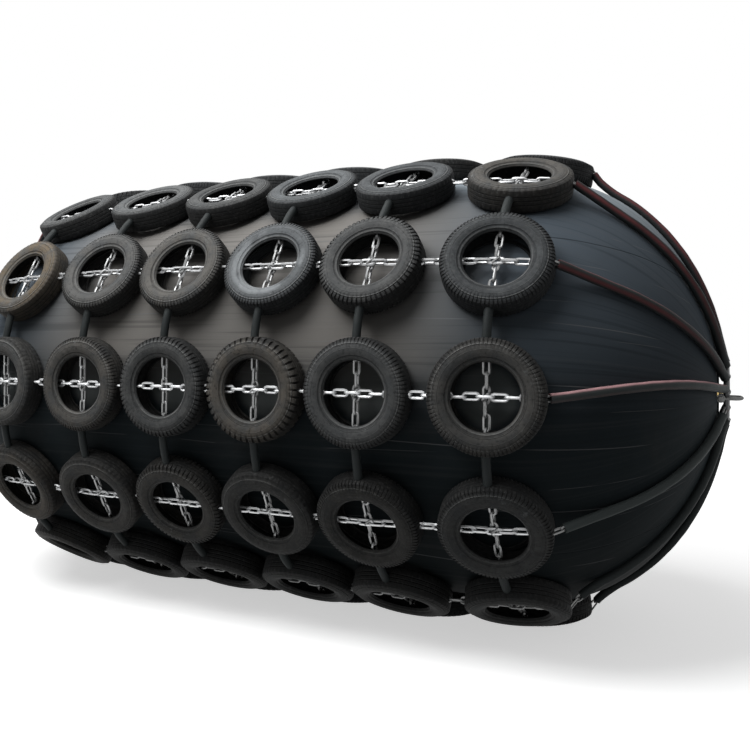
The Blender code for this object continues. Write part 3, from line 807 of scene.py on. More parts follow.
@dataclass(frozen=True)
class LeverPaint:
    """Dull red paint, chipped to the metal in small spots."""

    deep: Colour = (0.36, 0.035, 0.025)
    faded: Colour = (0.46, 0.075, 0.050)
    metal: Colour = (0.35, 0.35, 0.35)

    def material(self) -> bpy.types.Material:
        """Builds the finish.

        Returns:
            The material.
        """
        bench = Bench("lever_paint")
        spot = bench.place()
        chips = bench.noise(spot, 70.0, 4.0, 0.7).band(0.66, 0.70)
        fade = bench.noise(spot, 20.0, 3.0)
        colour = bench.layered(self.deep, (fade, self.faded), (chips, self.metal))
        return bench.finish(Base_Color=colour, Roughness=0.42 + fade * 0.15, Metallic=chips * 0.8,
                            Coat_Weight=0.15)


@dataclass(frozen=True)
class SheetRubber:
    """Black gasket rubber."""

    def material(self) -> bpy.types.Material:
        """Builds the finish.

        Returns:
            The material.
        """
        bench = Bench("gasket_rubber")
        grain = bench.noise(bench.place(), 80.0, 3.0)
        return bench.finish(Base_Color=bench.mix(grain, (0.022, 0.022, 0.023), (0.05, 0.05, 0.05)),
                            Roughness=0.6 + grain * 0.2, Normal=bench.relief((grain, 0.0006, 0.5)))


SPRING_STEEL = Galvanised("spring_steel", light=(0.5, 0.5, 0.51), dull=(0.3, 0.3, 0.3), metallic=0.9)


@dataclass
class Finishes:
    """The finishes of this fender, each made once."""

    body: bpy.types.Material = field(default_factory=BodyRubber().material)
    tyre: bpy.types.Material = field(default_factory=TyreRubber().material)
    hose: bpy.types.Material = field(default_factory=HoseRubber().material)
    zinc: bpy.types.Material = field(default_factory=Galvanised().material)
    steel: bpy.types.Material = field(default_factory=DarkSteel().material)
    brass: bpy.types.Material = field(default_factory=CastBrass().material)
    lever: bpy.types.Material = field(default_factory=LeverPaint().material)
    gasket: bpy.types.Material = field(default_factory=SheetRubber().material)
    spring: bpy.types.Material = field(default_factory=SPRING_STEEL.material)


def ride(item: bpy.types.Object, body: str, slot: str, *nodes: str) -> bpy.types.Object:
    """Ties a piece to its body, hides the solids that it stands for, and reports it.

    Args:
        item: The piece.
        body: The body that it moves with.
        slot: Its material slot; not used.
        *nodes: The solids that it stands for.

    Returns:
        The piece.
    """
    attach(item, body)
    if nodes:
        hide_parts(*nodes)
    log.info("%s: %d faces, rides on %s, stands for %s", item.name, len(item.data.polygons), body,
             ", ".join(nodes) or "nothing")
    return item


@dataclass
class RubberBody:
    """The hollow rubber body with its two domes and the lips of its mouths."""

    finishes: Finishes
    sides: int = 240
    dome_steps: int = 40
    barrel_steps: int = 8
    wall: float = 0.035
    rim_round: float = 0.04
    recess_radius: float = 0.335
    mouth_radius: float = 0.26
    lip_thickness: float = 0.06
    inner_turn: float = 1.35

    def half_profile(self) -> np.ndarray:
        """The right half of the section, from the barrel's outside round the mouth to its inside.

        The dome is an ellipse: x = straight + depth sin t and r = radius cos t, up to the rim, which is
        rounded by a quarter circle.

        Returns:
            Points (x, r), of shape (count, 2).
        """
        s = SIZES
        barrel = np.linspace(0, s.straight_half, self.barrel_steps, endpoint=False)[1:, None]
        dome = s.dome_line(np.linspace(0, math.acos(s.rim_radius / s.body_radius), self.dome_steps))
        q = np.linspace(0.15, 1, 7) * math.pi / 2
        rim = dome[-1] + np.stack([0.004 * np.sin(2 * q) - 0.012 * (1 - np.cos(q)),
                                   -self.rim_round * np.sin(q)], 1)
        under_lip = s.lip_x - self.lip_thickness
        mouth = [(s.lip_x + 0.004, self.recess_radius + 0.004), (s.lip_x, self.recess_radius),
                 (s.lip_x, self.mouth_radius), (under_lip, self.mouth_radius),
                 (under_lip, s.rim_radius + 0.03)]
        inside = s.dome_line(np.linspace(self.inner_turn, 0, 8), self.wall)
        return np.concatenate([np.hstack([barrel, np.full_like(barrel, s.body_radius)]), dome, rim, mouth,
                               inside])

    def build(self) -> None:
        """Makes the body, which stands for its solid."""
        right = self.half_profile()
        left = right[::-1] * np.array([-1, 1])
        surface = lathe(np.concatenate([right, left]), self.sides)
        surface = surface.moved(shift_by(0, 0, SIZES.axis_height) @ turn_about("x", math.pi / 2))
        ride(surface.to_object("rubber_body", self.finishes.body, crease=50), ROOT_BODY, "body",
             "fender_body")


@dataclass(frozen=True)
class TyreLook:
    """One tyre's pattern, how pale its rubber is, and how much brown dust it carries. For the rows in view
    the paleness is partly wear and partly painted light and shade, paler on the upper rows.
    """

    tread: Tread
    tone: float
    brown: float

    @classmethod
    def read(cls, word: str) -> "TyreLook":
        """Reads a look written as the tread's first letter and two digits for tone and brown."""
        tread = next(tread for tread in Tread if tread.name[0] == word[0])
        return cls(tread, int(word[1]) / 9, int(word[2]) / 9)


# The tones fall from the upper rows in view (keys 2 and 1) to the lower ones (keys 11 and 10), partly as
# painted light and shade.
SEEN_TYRES = {
    2: "R51 R71 R41 R70 R50 R43",
    1: "R79 F62 F63 F90 L41 F30",
    0: "R52 F53 L41 B54 F51 F42",
    11: "R34 R32 L22 R11 F01 F31",
    10: "R22 R11 R11 R21 R11 R21",
}


@dataclass
class TyreNet:
    """Twelve rows of six used tyres, with the chains through them and the sleeves between the rows."""

    finishes: Finishes
    link_pitch: float = 0.12
    link_wire: float = 0.0245
    link_width: float = 0.080
    sleeve_radius: float = 0.04
    lowest_row: int = 9
    overhang: float = 0.47
    cross_reach: float = 0.46
    cross_links: int = 7
    heading_step: float = 0.02
    twist: float = 0.16
    sway: float = 0.004
    seed: int = 11

    def tyre(self, tread: Tread) -> Surface:
        """A tyre about Z, its middle at the origin.

        The section is a closed loop of (z, r) points: crown, shoulder, bulging sidewall, bead and the open
        inside, mirrored. In the gaps between the lugs the crown's edge sinks towards the axis, and the outer
        band of the sidewall sinks into the tyre.

        Args:
            tread: The pattern of the lugs.

        Returns:
            The tyre, with the values "reach" for a point's distance from the axis, "axial" for its distance
            from the middle plane, and "pit" for how deep in a gap it is.
        """
        half = np.array([
            (0.000, 0.5050), (0.050, 0.5048), (0.084, 0.5025), (0.103, 0.4945), (0.109, 0.4800),
            (0.117, 0.4640), (0.127, 0.4420), (0.1335, 0.4120), (0.1325, 0.3780), (0.124, 0.3430),
            (0.109, 0.3180), (0.098, 0.3030), (0.086, 0.2940), (0.078, 0.2990), (0.106, 0.3550),
            (0.110, 0.4200), (0.082, 0.4740), (0.000, 0.4840)])
        inward = np.zeros(len(half))
        inward[1:6] = (0.1, 0.9, 1.0, 0.6, 0.2)
        under = np.zeros(len(half))
        under[2:7] = (0.4, 0.9, 1.0, 0.8, 0.2)
        section, inward, under = (np.concatenate([side, side[1:-1][::-1]]) for side in (half, inward, under))
        section[len(half):, 0] *= -1
        share = np.array([0.0, 0.58, 0.68, 0.90])
        step = 2 * np.pi / tread.lugs
        angle = ((np.arange(tread.lugs)[:, None] + share) * step).reshape(-1)
        gap = np.tile([0.0, 0.0, 1.0, 1.0], tread.lugs)
        radius = section[:, 1, None] - (inward * tread.depth)[:, None] * gap
        axial = section[:, 0, None] - (np.sign(section[:, 0]) * under * tread.depth * 0.7)[:, None] * gap
        points = np.stack([radius * np.cos(angle), radius * np.sin(angle), axial], -1)
        pit = np.maximum(inward, under)[:, None] * gap * (tread.depth / Tread.BLOCK.depth)
        return Surface.grid(points, close_u=True, close_v=True, values={
            "reach": section[:, 1, None], "axial": section[:, 0, None], "pit": pit})

    def link(self) -> Surface:
        """A chain link along X, flat in the XY plane: a round wire carried along a stadium.

        Returns:
            The link, with its middle at the origin.
        """
        wire = self.link_wire / 2
        radius = (self.link_width - self.link_wire) / 2
        half = (self.link_pitch + self.link_wire) / 2 - radius
        turn = np.linspace(-0.5, 0.5, 6) * np.pi
        ends = np.concatenate([turn, turn + np.pi])
        outward = np.stack([np.cos(ends), np.sin(ends), 0 * ends], 1)
        path = outward * radius + X_AXIS * np.repeat([half, -half], 6)[:, None]
        around = full_turn(5)[:, None]
        rim = outward[:, None] * (wire * np.cos(around)) + Z_AXIS * (wire * np.sin(around))
        return Surface.grid(path[:, None] + rim, close_u=True, close_v=True)

    def seat(self, x: float) -> np.ndarray:
        """The frame of a tyre's foot on the top row: its tilt follows the two points that it rests on.

        Args:
            x: Where the tyre's middle is along the fender.

        Returns:
            The matrix.
        """
        tilt = 0.0
        reach = SIZES.tyre_radius * math.cos(math.pi / 12)
        for _ in range(8):
            inner = SIZES.dome_radius(x - reach * math.cos(tilt))
            outer = SIZES.dome_radius(x + reach * math.cos(tilt))
            tilt = math.atan2(inner - outer, 2 * reach * math.cos(tilt))
        return shift_by(x, 0, (inner + outer) / 2) @ turn_about("y", tilt)

    def along(self, line: np.ndarray, start: float, count: int, phase: int, seed: int,
              slack: float = 1.0) -> np.ndarray:
        """Places links one after the other along a line, each turned a quarter from the last.

        Args:
            line: Points of shape (count, 3).
            start: How far along the line the first link's middle is.
            count: How many links there are.
            phase: 0 if the first link lies flat, 1 if it stands on edge.
            seed: For the way each link hangs.
            slack: How loosely they hang.

        Returns:
            A matrix for each link.
        """
        at = start + self.link_pitch * np.arange(count)
        heading = unit(points_at(line, at + self.heading_step) - points_at(line, at - self.heading_step))
        loose = noise_table(seed, count, 3)
        side = unit(np.cross(Z_AXIS, heading))
        up = np.cross(heading, side)
        angle = ((np.arange(count) + phase) % 2) * np.pi / 2 + loose[:, 0] * self.twist * slack
        flat = side * np.cos(angle)[:, None] + up * np.sin(angle)[:, None]
        matrices = np.tile(np.eye(4), (count, 1, 1))
        matrices[:, :3, :3] = np.stack([heading, flat, np.cross(heading, flat)], -1)
        sway = (side * loose[:, 1:2] + up * loose[:, 2:3]) * self.sway * slack
        matrices[:, :3, 3] = points_at(line, at) + sway
        return matrices

    def row_chain(self, index: int, seats: list[np.ndarray]) -> Surface:
        """The chain that runs lengthwise through all the tyres of a row.

        Args:
            index: The row.
            seats: The frames of its tyres on the top row.

        Returns:
            The links.
        """
        places = [(seats[0], -self.overhang), *((seat, 0) for seat in seats), (seats[-1], self.overhang)]
        line = np.array([seat @ [x, 0, SIZES.chain_height, 1] for seat, x in places])[:, :3]
        length = float(run_along(line)[-1])
        count = int(length / self.link_pitch)
        start = (length - (count - 1) * self.link_pitch) / 2
        return self.link().repeated(self.along(line, start, count, index % 2, self.seed + index))

    def cross_chain(self, index: int, number: int, seat: np.ndarray) -> Surface:
        """The piece of ring chain that crosses one tyre's opening, under the lengthwise chain.

        Args:
            index: The row.
            number: The tyre in its row.
            seat: The tyre's frame on the top row.

        Returns:
            The links, with one more that ties the two chains.
        """
        tyre = index * len(SIZES.tyre_xs) + number
        line = np.array([seat @ [0, y, SIZES.cross_chain_height, 1]
                         for y in (-self.cross_reach, 0, self.cross_reach)])[:, :3]
        start = self.cross_reach - (self.cross_links - 1) / 2 * self.link_pitch
        start += 0.02 * float(noise_table(self.seed * 7 + tyre, 1)[0])
        links = self.along(line, start, self.cross_links, 1, self.seed * 31 + tyre, slack=2.0)
        joint = seat @ shift_by(0, 0, (SIZES.chain_height + SIZES.cross_chain_height) / 2)
        joint = joint @ turn_about("z", 0.8) @ turn_about("x", 1.25) @ np.diag([0.62, 0.95, 0.8, 1])
        return self.link().repeated(np.concatenate([links, joint[None]]))

    def sleeve(self, seat: np.ndarray, bow: float) -> Surface:
        """The sleeve from a tyre of the top row to its neighbour in the next, bowed out as sin t.

        Args:
            seat: The tyre's frame.
            bow: How far the sleeve's middle stands out.

        Returns:
            The tube.
        """
        foot = np.array([0, SIZES.tyre_radius - 0.012, SIZES.sleeve_height, 1])
        start = (seat @ foot)[:3]
        end = (turn_about("x", -SIZES.row_step) @ seat @ (foot * [1, -1, 1, 1]))[:3]
        t = np.linspace(0, 1, 9)[:, None]
        middle = (start + end) / 2
        out = middle / np.linalg.norm(middle) * [0, 1, 1]
        path = start + (end - start) * t + out * bow * np.sin(np.pi * t)
        radius = self.sleeve_radius * (1 + 0.03 * np.sin(t[:, 0] * 23))
        return tube(path, radius, X_AXIS, 16, bore=self.sleeve_radius * 0.6)

    def looks(self, index: int) -> list[TyreLook]:
        """The looks of a row's six tyres: those in view as photographed, the others by chance.

        Args:
            index: The row.

        Returns:
            A look for each tyre.
        """
        if index in SEEN_TYRES:
            return [TyreLook.read(word) for word in SEEN_TYRES[index].split()]
        luck = noise_table(self.seed * 13 + index, len(SIZES.tyre_xs), 3) * 0.5 + 0.5
        patterns = list(Tread)
        return [TyreLook(patterns[int(a * 3.99)], 0.8 * b, 0.5 * max(0.0, c - 0.55)) for a, b, c in luck]

    @staticmethod
    def grime(index: int) -> tuple[float, float]:
        """How dark a row's lengthwise chain and its crossing chains are made, partly grime and partly painted
        shade, most of all round the bottom.
        """
        # Painted shade, with grime: the rows round the bottom are darkest, and the crossing chains darker
        # than the lengthwise ones.
        if index in (8, 9, 10):
            return 0.8, 1.0
        return (0.3, 0.65) if index in (1, 2, 3, 4) else (0.1, 0.7)

    def build(self) -> None:
        """Makes each row as three pieces: tyres, chains and sleeves."""
        seats = [self.seat(x) for x in SIZES.tyre_xs]
        middle = shift_by(0, 0, SIZES.tyre_width / 2)
        chance = noise_table(self.seed, SIZES.row_count, len(seats), 4)
        for index in range(SIZES.row_count):
            turn = row_matrix(index)
            along, across = self.grime(index)
            tyres, chains, sleeves = [], [self.row_chain(index, seats).marked(dull=along)], []
            for number, (seat, look) in enumerate(zip(seats, self.looks(index))):
                luck = chance[index, number] * (index != self.lowest_row)
                lean = turn_about("y", luck[0] * 0.012) @ turn_about("x", luck[1] * 0.012)
                spin = turn_about("z", luck[2] * math.pi)
                grown = np.diag([1 + luck[3] * 0.006] * 2 + [1.0, 1.0])
                tyre = self.tyre(look.tread).moved(seat @ middle @ lean @ spin @ grown)
                tyres.append(tyre.marked(tone=look.tone, brown=look.brown))
                chains.append(self.cross_chain(index, number, seat).marked(dull=across))
                sleeves.append(self.sleeve(seat, 0.008 + 0.006 * luck[0]))
            rows = (("tyres", tyres, self.finishes.tyre, "tyre", {"crease": 34, "weld": 0}),
                    ("chains", chains, self.finishes.zinc, "galvanised", {"crease": 60, "weld": 0}),
                    ("ring_sleeves", sleeves, self.finishes.hose, "sleeve", {}))
            for kind, parts, finish, slot, edges in rows:
                surface = Surface.merged(parts).moved(turn)
                item = surface.to_object(f"{kind}_row_{index + 1:02d}", finish, **edges)
                ride(item, ROOT_BODY, slot, *[f"tyre_row_{index + 1:02d}"] * (kind == "tyres"))


@dataclass
class EndChains:
    """The sleeved chains over one dome, from the last tyres to the tow ring."""

    finishes: Finishes
    net: TyreNet
    end: End
    hose_radius: float = 0.044
    hose_sides: int = 18
    seed: int = 51
    bows: tuple[float, ...] = (0.105, -0.01, 0.01, -0.06, 0.015, -0.02, 0.02, 0.0, -0.015, 0.01, 0.02, -0.03)
    hugs: tuple[float, ...] = (0.0, 0.0, 0.0, 1.0, 0.0, 0.0, 0.0, 0.0, 0.0, 1.0, 1.0, 0.0)
    ring_sides: tuple[float, ...] = (0.05,) + (0.0,) * 11
    reds: tuple[float, ...] = (0.20, 0.8, 1.0, 1.0, 1.0, 0.7, 0.3, 0.0, 0.0, 0.0, 0.0, 0.0)
    pales: tuple[float, ...] = (0.5, 0.1, 0.0, 0.0, 0.0, 0.0, 0.0, 0.0, 0.0, 0.1, 0.2, 1.0)
    # How strong the painted highlight along the top of each hose is.
    stripes: tuple[float, ...] = (1.0, 0.16, 0.26, 0.3, 0.3, 0.0, 0.0, 0.0, 0.0, 0.0, 0.0, 0.0)
    red_lines: tuple[float, ...] = (0.70, 2.44)
    start_height: float = 0.119
    taut_share: float = 0.26
    sag_share: float = 0.17
    press: float = 0.012
    covered_rows: int = 7
    bare_row: int = 11

    @property
    def photographed(self) -> bool:
        """Whether the photograph shows this end."""
        return self.end is End.RIGHT

    def route(self) -> np.ndarray:
        """The middle line of an end chain on the top row, from the tyre's tread to the tow ring.

        It leaves the tyre, meets the ellipse that lies a hose radius over the dome, follows it and leaves
        it again for the ring. The taut line over all those points is their upper hull, resampled evenly.

        Returns:
            Points of shape (140, 3).
        """
        s = SIZES
        start = (self.net.seat(s.tyre_xs[-1]) @ [s.tyre_radius, 0, s.sleeve_height, 1])[:3]
        t = np.linspace(0, 1.52, 90)
        normal = unit(np.stack([np.sin(t) / s.dome_depth, np.cos(t) / s.body_radius], 1))
        over = s.dome_line(t) + normal * (self.hose_radius + 0.002)
        over = over[over[:, 0] > start[0]]
        last = np.array([s.ring_plane, s.tow_ring_radius])
        hull: list[np.ndarray] = []
        for point in [start[[0, 2]], *over[over[:, 1] > last[1] + 0.02], last]:
            while len(hull) > 1:
                (x0, r0), (x1, r1) = hull[-2:]
                if (x1 - x0) * (point[1] - r0) - (r1 - r0) * (point[0] - x0) < 0:
                    break
                hull.pop()
            hull.append(point)
        line = np.array(hull)
        x, r = points_at(line, np.linspace(0, run_along(line)[-1], 140)).T
        soft = np.ones(7) / 7
        x[3:-3], r[3:-3] = np.convolve(x, soft, "valid"), np.convolve(r, soft, "valid")
        return np.stack([x, np.zeros_like(x), r], 1)

    def laid(self, route: np.ndarray, share: np.ndarray, index: int) -> np.ndarray:
        """The line of one chain of the photographed end, which sags and bows where the photograph shows it.

        Past the tyre a taut chain stands over the dome by a parabola of its share, which ends at
        taut_share, and a sagging one by a steeper parabola. Each point sinks by their difference, and by a
        little more where the sleeve presses into the rubber, along the line's normal.

        Args:
            route: The taut line.
            share: How far along it each point is, from 0 to 1.
            index: The chain's row.

        Returns:
            The new line.
        """
        step = np.gradient(route, axis=0)
        normal = unit(np.stack([-step[:, 2], 0 * share, step[:, 0]], 1))
        taut, sagging = (np.clip(1 - share / end, 0, 1) ** 2 for end in (self.taut_share, self.sag_share))
        pressed = np.clip(share / 0.05, 0, 1) * np.clip((1 - share) / 0.05, 0, 1) * self.press
        drop = self.start_height * (taut - sagging) + pressed
        line = route - normal * (drop * self.hugs[index])[:, None]
        line[:, 1] += self.bows[index] * np.sin(np.pi * share) ** 1.2 + self.ring_sides[index] * share ** 3
        return line

    def hose(self, path: np.ndarray, run: np.ndarray, length: float, index: int) -> Surface:
        """The sleeve of one chain, with the values that colour it.

        Its radius swells and narrows a little along it. Two lines along its flanks are red and its top has
        a painted pink highlight, both fading out towards the ring.

        Args:
            path: The sleeve's middle line.
            run: How far along the chain each of its points is.
            length: The chain's length.
            index: The chain's row.

        Returns:
            The tube.
        """
        knots = noise_table(self.seed * 3 + index, 26)
        wave = 0.955 + 0.035 * np.interp(run, np.linspace(0, length, len(knots)), knots)
        tubing = tube(path, self.hose_radius * wave, Y_AXIS, self.hose_sides, bore=self.hose_radius * 0.62)
        around = full_turn(self.hose_sides)
        far = np.concatenate([[0, 0], np.linspace(0, 1, len(path)), [1, 1, 0, 1]])[:, None]
        lines = [np.clip(1.15 - np.abs(around - place) / 0.52, 0, 1) for place in self.red_lines]
        crest = np.maximum(*lines) * np.clip((0.95 - far) * 2.2, 0, 1)
        # Painted highlight along the top of the hose, fading out towards the ring.
        upper = np.clip((np.cos(around) - 0.50) * 6, 0, 1) * np.clip((1.0 - far) * 8, 0, 1)
        tubing.values["red"] = (self.reds[index] * crest).reshape(-1)
        tubing.values["stripe"] = (self.stripes[index] * self.photographed * upper).reshape(-1)
        return tubing.marked(pale=self.pales[index])

    def build(self) -> None:
        """Makes each chain as a hose piece, which stands for its solid, and its bare links."""
        route = self.route()
        run = run_along(route)
        share = run / run[-1]
        side = self.end.mirror
        slim = np.diag([1.0, 0.78, 0.85, 1.0])
        chance = noise_table(self.seed + self.end.value, SIZES.row_count, 4)
        for index, luck in enumerate(chance):
            covered = self.photographed and index < self.covered_rows
            bare = 0.0 if covered else 0.09 + 0.03 * luck[1]
            if self.photographed:
                line = self.laid(route, share, index)
            else:
                line = route + Y_AXIS * (0.03 * luck[0] * np.sin(np.pi * share) ** 1.2)[:, None]
            last_links, ring_clear = (2, 0.14) if index == self.bare_row else (1, 0.035)
            near = (run > bare) & (run < run[-1] - ring_clear)
            hose = self.hose(line[near][::2], run[near][::2], run[-1], index)
            turn = row_matrix(index) @ side
            word = f"{self.end.word}_{index + 1:02d}"
            ride(hose.moved(turn).to_object(f"end_hose_{word}", self.finishes.hose), ROOT_BODY, "sleeve",
                 f"end_chain_{word}")
            tyre_end = self.net.along(line, 0.02, 1 if covered else 2, index % 2, self.seed + index)
            start = run[-1] - 0.074 - (last_links - 1) * self.net.link_pitch
            ring_end = self.net.along(line, start, last_links, 1, self.seed + 40 + index)
            links = self.net.link().moved(slim).repeated(np.concatenate([tyre_end, ring_end])).moved(turn)
            bare_links = links.marked(dull=0.9)
            ride(bare_links.to_object(f"end_links_{word}", self.finishes.zinc, crease=60, weld=0), ROOT_BODY,
                 "galvanised")


@dataclass
class EndSteelwork:
    """The flange, its bolts, the bead ring and gasket, the tow ring and the tow shackle of one end."""

    finishes: Finishes
    end: End
    flange_radius: float = 0.315
    bolt_circle: float = 0.205
    bolt_count: int = 8
    shackle_angle: float = math.radians(-7.5)
    shackle_bar: float = 0.017
    shackle_jaw: float = 0.075
    shackle_inside: float = 0.145
    pin_radius: float = 0.019

    def hex_head(self, radius: float, height: float) -> Surface:
        """A bolt's six-sided head along X over its round washer, with the top corners turned down.

        Args:
            radius: From the middle to a corner.
            height: Without the washer.

        Returns:
            The head, whose washer lies on x = 0.
        """
        rise = np.array([0, 0.0, 0.74, 1.0, 1.0]) * height
        size = np.array([0.5, 1.0, 1.0, 0.86, 0.3])[:, None] * radius
        head = Surface.capped(spun(rise, size, full_turn(6))).moved(shift_by(0.003, 0, 0))
        washer = [(-0.002, 0.0005), (-0.002, radius * 1.25), (0.003, radius * 1.25), (0.003, 0.0005)]
        return Surface.merged([head, lathe(washer, 32, closed=False)])

    def flange(self) -> Surface:
        """The blank flange: a turned plate with a chamfered edge, the pad of its valve and its bolts.

        Returns:
            The flange of the right end.
        """
        face, edge, pad = SIZES.flange_face, self.flange_radius, SIZES.pad_height
        plate = lathe([(-0.030, 0.0005), (-0.030, edge - 0.002), (-0.028, edge), (-0.006, edge),
                       (-0.003, edge - 0.001), (0.0, edge - 0.006), (0.0, 0.0665), (0.002, 0.0655),
                       (pad, 0.064), (pad, 0.0005)], 128, closed=False, at=face)
        places = [turn_about("x", -2 * math.pi * (i + 0.5) / self.bolt_count)
                  @ shift_by(face, 0, self.bolt_circle) @ turn_about("x", 0.35 * i)
                  for i in range(self.bolt_count)]
        return Surface.merged([plate, self.hex_head(0.021, 0.014).repeated(np.array(places))])

    def ring(self, x0: float, x1: float, inner: float, outer: float) -> Surface:
        """A ring with a rectangular section and slightly broken corners.

        Args:
            x0: Where it starts.
            x1: Where it ends.
            inner: The radius of its hole.
            outer: The radius of its edge.

        Returns:
            The ring.
        """
        b = min(0.0015, (x1 - x0) / 4)
        return lathe([(x0, inner + b), (x0, outer - b), (x0 + b, outer), (x1 - b, outer), (x1, outer - b),
                      (x1, inner + b), (x1 - b, inner), (x0 + b, inner)], 96)

    def tow_ring(self) -> Surface:
        """The tow ring, a circle carried round a circle."""
        angle = full_turn(20)[:, None]
        round_bar = SIZES.tow_bar_radius * np.hstack([np.sin(angle), np.cos(angle)])
        return lathe(round_bar + [SIZES.ring_plane, SIZES.tow_bar_circle], 120)

    def shackle_frame(self) -> np.ndarray:
        """The shackle's place on the ring's bar: X outwards, Y away from the fender's axis.

        Returns:
            The matrix at the right end.
        """
        radius = SIZES.tow_bar_circle
        c, s = math.cos(self.shackle_angle), math.sin(self.shackle_angle)
        matrix = np.eye(4)
        matrix[:3, 1] = (0, -c, s)
        matrix[:3, 2] = (0, -s, -c)
        matrix[:3, 3] = (SIZES.ring_plane, -c * radius, s * radius)
        return shift_by(0, 0, SIZES.axis_height) @ matrix

    def bar(self, radius: float, y0: float, y1: float, x: float, ease: float = 0.0015) -> Surface:
        """A round bar along the shackle's Y, with eased ends.

        Args:
            radius: Its radius.
            y0: Where it starts.
            y1: Where it ends.
            x: Its place on the shackle's X.
            ease: How far its edges are broken.

        Returns:
            The bar.
        """
        profile = [(y0, 0.0004), (y0, radius - ease), (y0 + ease, radius), (y1 - ease, radius),
                   (y1, radius - ease), (y1, 0.0004)]
        return lathe(profile, 32, closed=False).moved(shift_by(x, 0, 0) @ turn_about("z", math.pi / 2))

    def shackle(self) -> tuple[Surface, Surface, Surface]:
        """The bow is a half circle between two straight legs, and each leg ends in an eye for the pin.

        Returns:
            The bow with its two eyes, the headed pin, and the nut with its split pin.
        """
        pin_x = -(SIZES.tow_bar_radius + self.pin_radius + SIZES.clearance)
        upright = shift_by(pin_x, 0, 0) @ turn_about("z", math.pi / 2)
        half = self.shackle_jaw / 2 + self.shackle_bar
        bow_x = pin_x + self.pin_radius + self.shackle_inside + self.shackle_bar - half
        turn = np.linspace(0, np.pi, 25)
        leg = np.linspace(0, 1, 7)[:-1, None]
        foot = np.array([[pin_x + 0.018, -half, 0.0]])
        arc = np.stack([bow_x + half * np.sin(turn), -half * np.cos(turn), 0 * turn], 1)
        path = np.concatenate([foot + (arc[:1] - foot) * leg, arc,
                               arc[-1:] + (foot * [1, -1, 1] - arc[-1:]) * (1 - leg[::-1])])
        pieces = [tube(path, self.shackle_bar, Z_AXIS, 20)]
        jaw, outside = self.shackle_jaw / 2, self.shackle_jaw / 2 + 2 * self.shackle_bar
        for y0, y1 in ((-outside, -jaw), (jaw, outside)):
            eye = lathe([(y0, 0.0196), (y0, 0.026), (y0 + 0.003, 0.029), (y1 - 0.003, 0.029), (y1, 0.026),
                         (y1, 0.0196)], 40)
            pieces.append(eye.moved(upright))
        reach = outside + SIZES.clearance
        pin = Surface.merged([self.bar(self.pin_radius, -reach - 0.007, reach + 0.022, pin_x),
                              self.bar(0.028, -reach - 0.014, -reach, pin_x, ease=0.003)])
        nut = self.hex_head(0.0315, 0.0155).moved(shift_by(0, reach - 0.001, 0) @ upright)
        ends = np.array([[pin_x - 0.026, reach + 0.0195, 0.0], [pin_x, reach + 0.0195, 0.0],
                         [pin_x + 0.026, reach + 0.0185, 0.0]])
        return Surface.merged(pieces), pin, Surface.merged([nut, tube(ends, 0.0022, Z_AXIS, 8)])

    def build(self) -> None:
        """Makes the pieces of this end."""
        lift = shift_by(0, 0, SIZES.axis_height) @ self.end.mirror
        word, lip, gap = self.end.word, SIZES.lip_x, SIZES.clearance
        steel = (self.finishes.steel, "steel")
        fixed = [
            ("flange", "end_flange", self.flange(), *steel),
            ("bead_ring", "bead_ring", self.ring(lip - 0.085, lip, 0.17, 0.26 - gap), *steel),
            ("gasket", "flange_gasket", self.ring(lip + gap, lip + gap + 0.008, 0.17, 0.30),
             self.finishes.gasket, "gasket"),
            ("ring", "tow_ring", self.tow_ring(), *steel),
        ]
        for name, node, surface, finish, slot in fixed:
            ride(surface.moved(lift).to_object(f"mouth_{name}_{word}", finish), ROOT_BODY, slot,
                 f"{node}_{word}")
        place = self.end.mirror @ self.shackle_frame()
        for name, surface in zip(("tow_shackle", "shackle_pin", "shackle_nut"), self.shackle()):
            forged = surface.marked(dull=1.0).moved(place)
            ride(forged.to_object(f"{name}_forged_{word}", self.finishes.zinc), f"shackle_{word}",
                 "galvanised", f"{name}_{word}")


